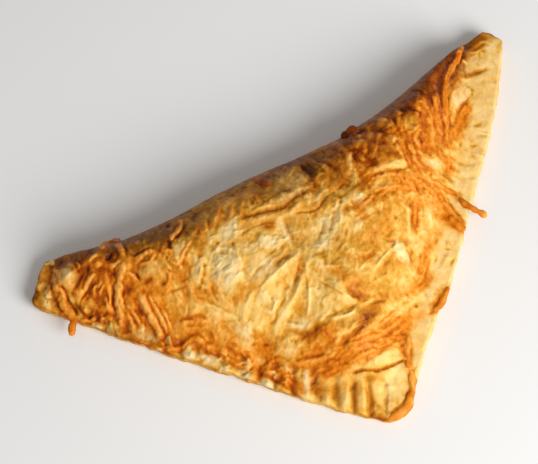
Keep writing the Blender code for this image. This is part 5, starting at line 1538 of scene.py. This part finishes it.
def baked_surface(name, with_dough, roughness, painted_relief_shade, fat):
    """A baked surface, browned unevenly, with painted shade in its creases and painted light on its crests,
    and a little see-through with fat.

    It is all melted cheese, or dough and dried leaf with a film of cheese where the mesh says so.
    """
    material = bpy.data.materials.new(name)
    material.use_nodes = True
    tree = material.node_tree
    shader = tree.nodes["Principled BSDF"]
    keys = ("browning", "crest", "cheese", "leaf") if with_dough else ("browning", "crest")
    browning, crest, *layers = (
        node(tree, "ShaderNodeAttribute", {"attribute_name": key}).outputs["Fac"] for key in keys
    )
    place = node(tree, "ShaderNodeTexCoord").outputs["Object"]
    mottle = node(tree, "ShaderNodeTexNoise", {"noise_dimensions": "3D"},
                  {"Vector": place, "Scale": 1 / (MOTTLE_SIZE * MM), "Detail": 4.0, "Roughness": 0.62})
    pores = node(tree, "ShaderNodeTexNoise", {"noise_dimensions": "3D"},
                 {"Vector": place, "Scale": 1 / (PORE_SIZE * MM), "Detail": 2.0, "Roughness": 0.5})
    varied = node(tree, "ShaderNodeMath", {"operation": "MULTIPLY_ADD"},
                  {0: mottle.outputs["Fac"], 1: MOTTLING, 2: browning})
    # Painted shade in the creases and painted light on the crests, from the crest value at the vertices.
    painted_crease_shade = node(tree, "ShaderNodeMath", {"operation": "MULTIPLY_ADD"},
                      {0: crest, 1: -painted_relief_shade, 2: varied.outputs[0]})
    toasted_and_shaded = node(tree, "ShaderNodeMath", {"operation": "ADD", "use_clamp": True},
                   {0: painted_crease_shade.outputs[0], 1: 0.5 * painted_relief_shade - 0.5 * MOTTLING})
    sheen = node(tree, "ShaderNodeMapRange",
                 links={"Value": pores.outputs["Fac"], "From Min": 0.3, "From Max": 0.7,
                        "To Min": roughness - 0.1, "To Max": roughness + 0.1})
    bump = node(tree, "ShaderNodeBump",
                links={"Height": pores.outputs["Fac"], "Strength": 0.3, "Distance": PORE_DEPTH * MM})
    shades = []
    for stops in (CHEESE_COLOURS, DOUGH_COLOURS, LEAF_COLOURS) if with_dough else (CHEESE_COLOURS,):
        ramp = node(tree, "ShaderNodeValToRGB", links={"Fac": toasted_and_shaded.outputs[0]})
        elements = ramp.color_ramp.elements
        while len(elements) < len(stops):
            elements.new(0.5)
        for element, (position, shade) in zip(elements, stops):
            element.position = position
            element.color = (*linear(shade), 1.0)
        shades.append(ramp.outputs["Color"])
    colour, gloss = shades[0], sheen.outputs["Result"]
    if with_dough:
        film, dough, dry = shades
        cheese, leaf = layers
        bare = node(tree, "ShaderNodeMix", {"data_type": "RGBA"}, {"Factor": leaf, "A": dough, "B": dry})
        coated = node(tree, "ShaderNodeMix", {"data_type": "RGBA"},
                      {"Factor": cheese, "A": bare.outputs["Result"], "B": film})
        shiny = node(tree, "ShaderNodeMath", {"operation": "MULTIPLY_ADD"},
                     {0: cheese, 1: -CHEESE_SMOOTHNESS, 2: gloss})
        colour, gloss = coated.outputs["Result"], shiny.outputs[0]
    tree.links.new(colour, shader.inputs["Base Color"])
    tree.links.new(gloss, shader.inputs["Roughness"])
    tree.links.new(bump.outputs["Normal"], shader.inputs["Normal"])
    shader.inputs["IOR"].default_value = BUTTERFAT_IOR
    shader.inputs["Specular IOR Level"].default_value = SHINE
    shader.inputs["Specular Tint"].default_value = (*linear(WARM_HIGHLIGHT), 1.0)
    shader.inputs["Subsurface Weight"].default_value = fat
    shader.inputs["Subsurface Radius"].default_value = FAT_DEPTHS
    shader.inputs["Subsurface Scale"].default_value = FAT_SCALE * MM
    return material


puff = pastry()

# Baked puff pastry: dry flaky dough, matt to satin and pale gold to brown, glossier where fat ran out,
# with painted shade in its creases and painted light on its crests.
puff.data.materials.append(baked_surface("baked_puff_pastry", True, roughness=0.5, painted_relief_shade=0.18, fat=0.1))
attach(puff, "root")
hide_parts("spinach_feta_puff")

# ------------------------------------------------------------------------------------------------------
# The free strands of cheese: gratings that kept their round form on the dough or that run out over its
# edge, where they hang down a little. They melted fast to the pastry and browned.
# ------------------------------------------------------------------------------------------------------

# Sides of a strand's tube, and as shares of its width its half height and how far its middle is lifted.
STRAND_SIDES = 12
STRAND_HALF_HEIGHT = 0.30
STRAND_LIFT = -0.02

# Where a strand runs out over the edge, it starts from the rim's height, taken this far in towards the
# middle of the puff, and sags a little more the farther out it is.
EDGE_HOLD = 0.8
PUFF_MIDDLE = (-4.6, 4.8)
SAG = 0.12


def resting_line(path):
    """Height of the pastry along a path, or of its edge where the path runs out over it."""
    gap, _ = distance_and_arc(path, np.vstack([OUTLINE[::4], OUTLINE[:1]]))
    out = ~inside(path, OUTLINE)
    toward = np.array(PUFF_MIDDLE) - path
    toward = toward / np.linalg.norm(toward, axis=1)[:, None]
    held = np.where(out[:, None], path + toward * (gap[:, None] + EDGE_HOLD), path)
    return sheet_values(held)[0]["height"] - np.where(out, SAG * gap**1.3, 0.0)


def smoothed(values):
    """A line of values with its kinks evened out; its ends stay."""
    for _ in range(3):
        values = np.concatenate([values[:1], (values[:-2] + 2 * values[1:-1] + values[2:]) / 4, values[-1:]])
    return values


def tube_faces(count):
    """Faces of a tube of so many rings, with a vertex that closes it at each end."""
    sides, faces = STRAND_SIDES, []
    for k in range(count - 1):
        here, there = k * sides, (k + 1) * sides
        for side in range(sides):
            after = (side + 1) % sides
            faces.append((here + side, here + after, there + after, there + side))
    first, last, end = count * sides, count * sides + 1, (count - 1) * sides
    for side in range(sides):
        after = (side + 1) % sides
        faces.append((first, after, side))
        faces.append((last, end + side, end + after))
    return faces


def strand(width, brown, path, rest, number):
    """Vertices, faces and values of one strand."""
    count, sides = len(path), STRAND_SIDES
    length = arc_lengths(path)[-1]
    share = np.linspace(0.0, 1.0, count)
    line = np.column_stack([share * length / 2.6, np.full(count, number * 3.1)])
    ahead = np.gradient(path, axis=0)
    ahead = ahead / np.linalg.norm(ahead, axis=1)[:, None]
    sway = noise_at(line, 1.0, 51) * 0.15 * width
    path = path + np.column_stack([-ahead[:, 1], ahead[:, 0]]) * sway[:, None]
    along = np.gradient(np.column_stack([path, rest]), axis=0)
    along = along / np.linalg.norm(along, axis=1)[:, None]
    across = np.cross([0.0, 0.0, 1.0], along)
    across = across / np.linalg.norm(across, axis=1)[:, None]
    up = np.cross(along, across)
    ends = np.clip(np.minimum(share, 1.0 - share) * length / (1.1 * width), 0.0, 1.0)
    taper = (0.12 + 0.88 * np.sqrt(1.0 - (1.0 - ends) ** 2)) * (1.0 + 0.22 * noise_at(line, 1.0, 52))
    middle = np.column_stack([path, rest]) + up * (STRAND_LIFT * width)
    angle = 2 * math.pi * np.arange(sides) / sides
    grid = np.column_stack([np.repeat(share * length / 1.3, sides), np.tile(np.sin(angle), count) + number])
    bumps = 1.0 + 0.20 * noise_at(grid, 1.0, 53).reshape(count, sides)
    wide = (np.cos(angle)[None] * 0.5 * bumps)[..., None] * across[:, None]
    tall = (np.sin(angle)[None] * STRAND_HALF_HEIGHT * bumps)[..., None] * up[:, None]
    rings = middle[:, None] + (wide + tall) * (width * taper)[:, None, None]
    vertices = np.vstack([rings.reshape(-1, 3), middle[:1], middle[-1:]])
    patchy = brown + 0.05 + 0.12 * noise_at(line, 1.0, 54)
    browning = np.concatenate([np.repeat(patchy, sides), patchy[:1], patchy[-1:]])
    # 1 on top of the tube and 0 underneath: the material paints light on the tops and shade on the
    #                                        undersides.
    crest = np.concatenate([np.tile(0.5 + 0.5 * np.sin(angle), count), [0.5, 0.5]])
    return vertices, tube_faces(count), browning, crest


def strands():
    """All the free strands as one mesh."""
    rests = resting_line(np.vstack([path for _, _, path in free_strands]))
    vertices, faces, browning, crest, made, used = [], [], [], [], 0, 0
    for number, (width, brown, path) in enumerate(free_strands):
        rest = smoothed(rests[used : used + len(path)])
        used += len(path)
        points, new_faces, brown_here, high = strand(width, brown, path, rest, number)
        vertices.append(points)
        faces += [tuple(k + made for k in face) for face in new_faces]
        browning.append(brown_here)
        crest.append(high)
        made += len(points)
    attributes = {"browning": np.clip(np.concatenate(browning), 0.0, 1.0), "crest": np.concatenate(crest)}
    return new_piece("melted_cheese_strands", np.vstack(vertices), faces, attributes)


cheese_strands = strands()

# Browned cheese: orange, a little greasy and so glossier than dough, with painted shade on the undersides of
# the strands and painted light on their tops.
cheese_strands.data.materials.append(
    baked_surface("browned_cheese", False, roughness=0.4, painted_relief_shade=0.30, fat=0.12)
)
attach(cheese_strands, "root")
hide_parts("spinach_feta_puff")

# ------------------------------------------------------------------------------------------------------
# The studio: a plain pale floor, one soft lamp to the right of the camera, light all round, and the
# camera looking down at 70 degrees.
# ------------------------------------------------------------------------------------------------------

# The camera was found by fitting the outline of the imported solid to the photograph's. The lamp lies to
# the right of the picture, towards its lower edge and up, in these shares.
CAMERA = {"azimuth": -28.955, "elevation": 70.0, "distance": 500.0, "lens": 95.16, "sensor": 36.0}
CAMERA_TARGET = (-14.785, 23.756, 10.0)
LAMP = {"right": 0.62, "down": 0.56, "height": 0.62, "distance": 900.0, "size": 640.0, "watts": 8.95}
SKY_STRENGTH = 0.33
FLOOR_SIZE = 3000.0


def studio_floor():
    """A large flat floor of matt off-white board, which throws back hardly any shine."""
    half = FLOOR_SIZE / 2
    corners = [(-half, -half, 0.0), (half, -half, 0.0), (half, half, 0.0), (-half, half, 0.0)]
    floor = new_piece("studio_floor", corners, [(0, 1, 2, 3)], {})
    board = bpy.data.materials.new("matt_white_board")
    board.use_nodes = True
    shader = board.node_tree.nodes["Principled BSDF"]
    shader.inputs["Base Color"].default_value = (*linear("#F4F3F1"), 1.0)
    shader.inputs["Roughness"].default_value = 0.9
    floor.data.materials.append(board)
    return floor


studio_floor()

azimuth, elevation = math.radians(CAMERA["azimuth"]), math.radians(CAMERA["elevation"])
level = math.cos(elevation)
right = Vector((math.cos(azimuth), math.sin(azimuth), 0.0))
down = Vector((math.sin(azimuth), -math.cos(azimuth), 0.0))
back = Vector((math.sin(azimuth) * level, -math.cos(azimuth) * level, math.sin(elevation)))
target = Vector(CAMERA_TARGET) * MM

camera_data = bpy.data.cameras.new("camera")
camera_data.lens = CAMERA["lens"]
camera_data.sensor_width = CAMERA["sensor"]
camera_data.clip_start = 0.01
camera = bpy.data.objects.new("camera", camera_data)
camera.location = target + back * CAMERA["distance"] * MM
camera.rotation_euler = back.to_track_quat("Z", "Y").to_euler()
bpy.context.scene.collection.objects.link(camera)
bpy.context.scene.camera = camera

lamp_way = (right * LAMP["right"] + down * LAMP["down"] + Vector((0.0, 0.0, LAMP["height"]))).normalized()
lamp_data = bpy.data.lights.new("soft_lamp", "AREA")
lamp_data.shape = "DISK"
lamp_data.size = LAMP["size"] * MM
lamp_data.energy = LAMP["watts"]
lamp = bpy.data.objects.new("soft_lamp", lamp_data)
lamp.location = lamp_way * LAMP["distance"] * MM
lamp.rotation_euler = lamp_way.to_track_quat("Z", "Y").to_euler()
bpy.context.scene.collection.objects.link(lamp)

sky = bpy.data.worlds.new("sky")
sky.use_nodes = True
sky.node_tree.nodes["Background"].inputs["Color"].default_value = (1.0, 1.0, 1.0, 1.0)
sky.node_tree.nodes["Background"].inputs["Strength"].default_value = SKY_STRENGTH
bpy.context.scene.world = sky
bpy.context.scene.view_settings.view_transform = "Standard"
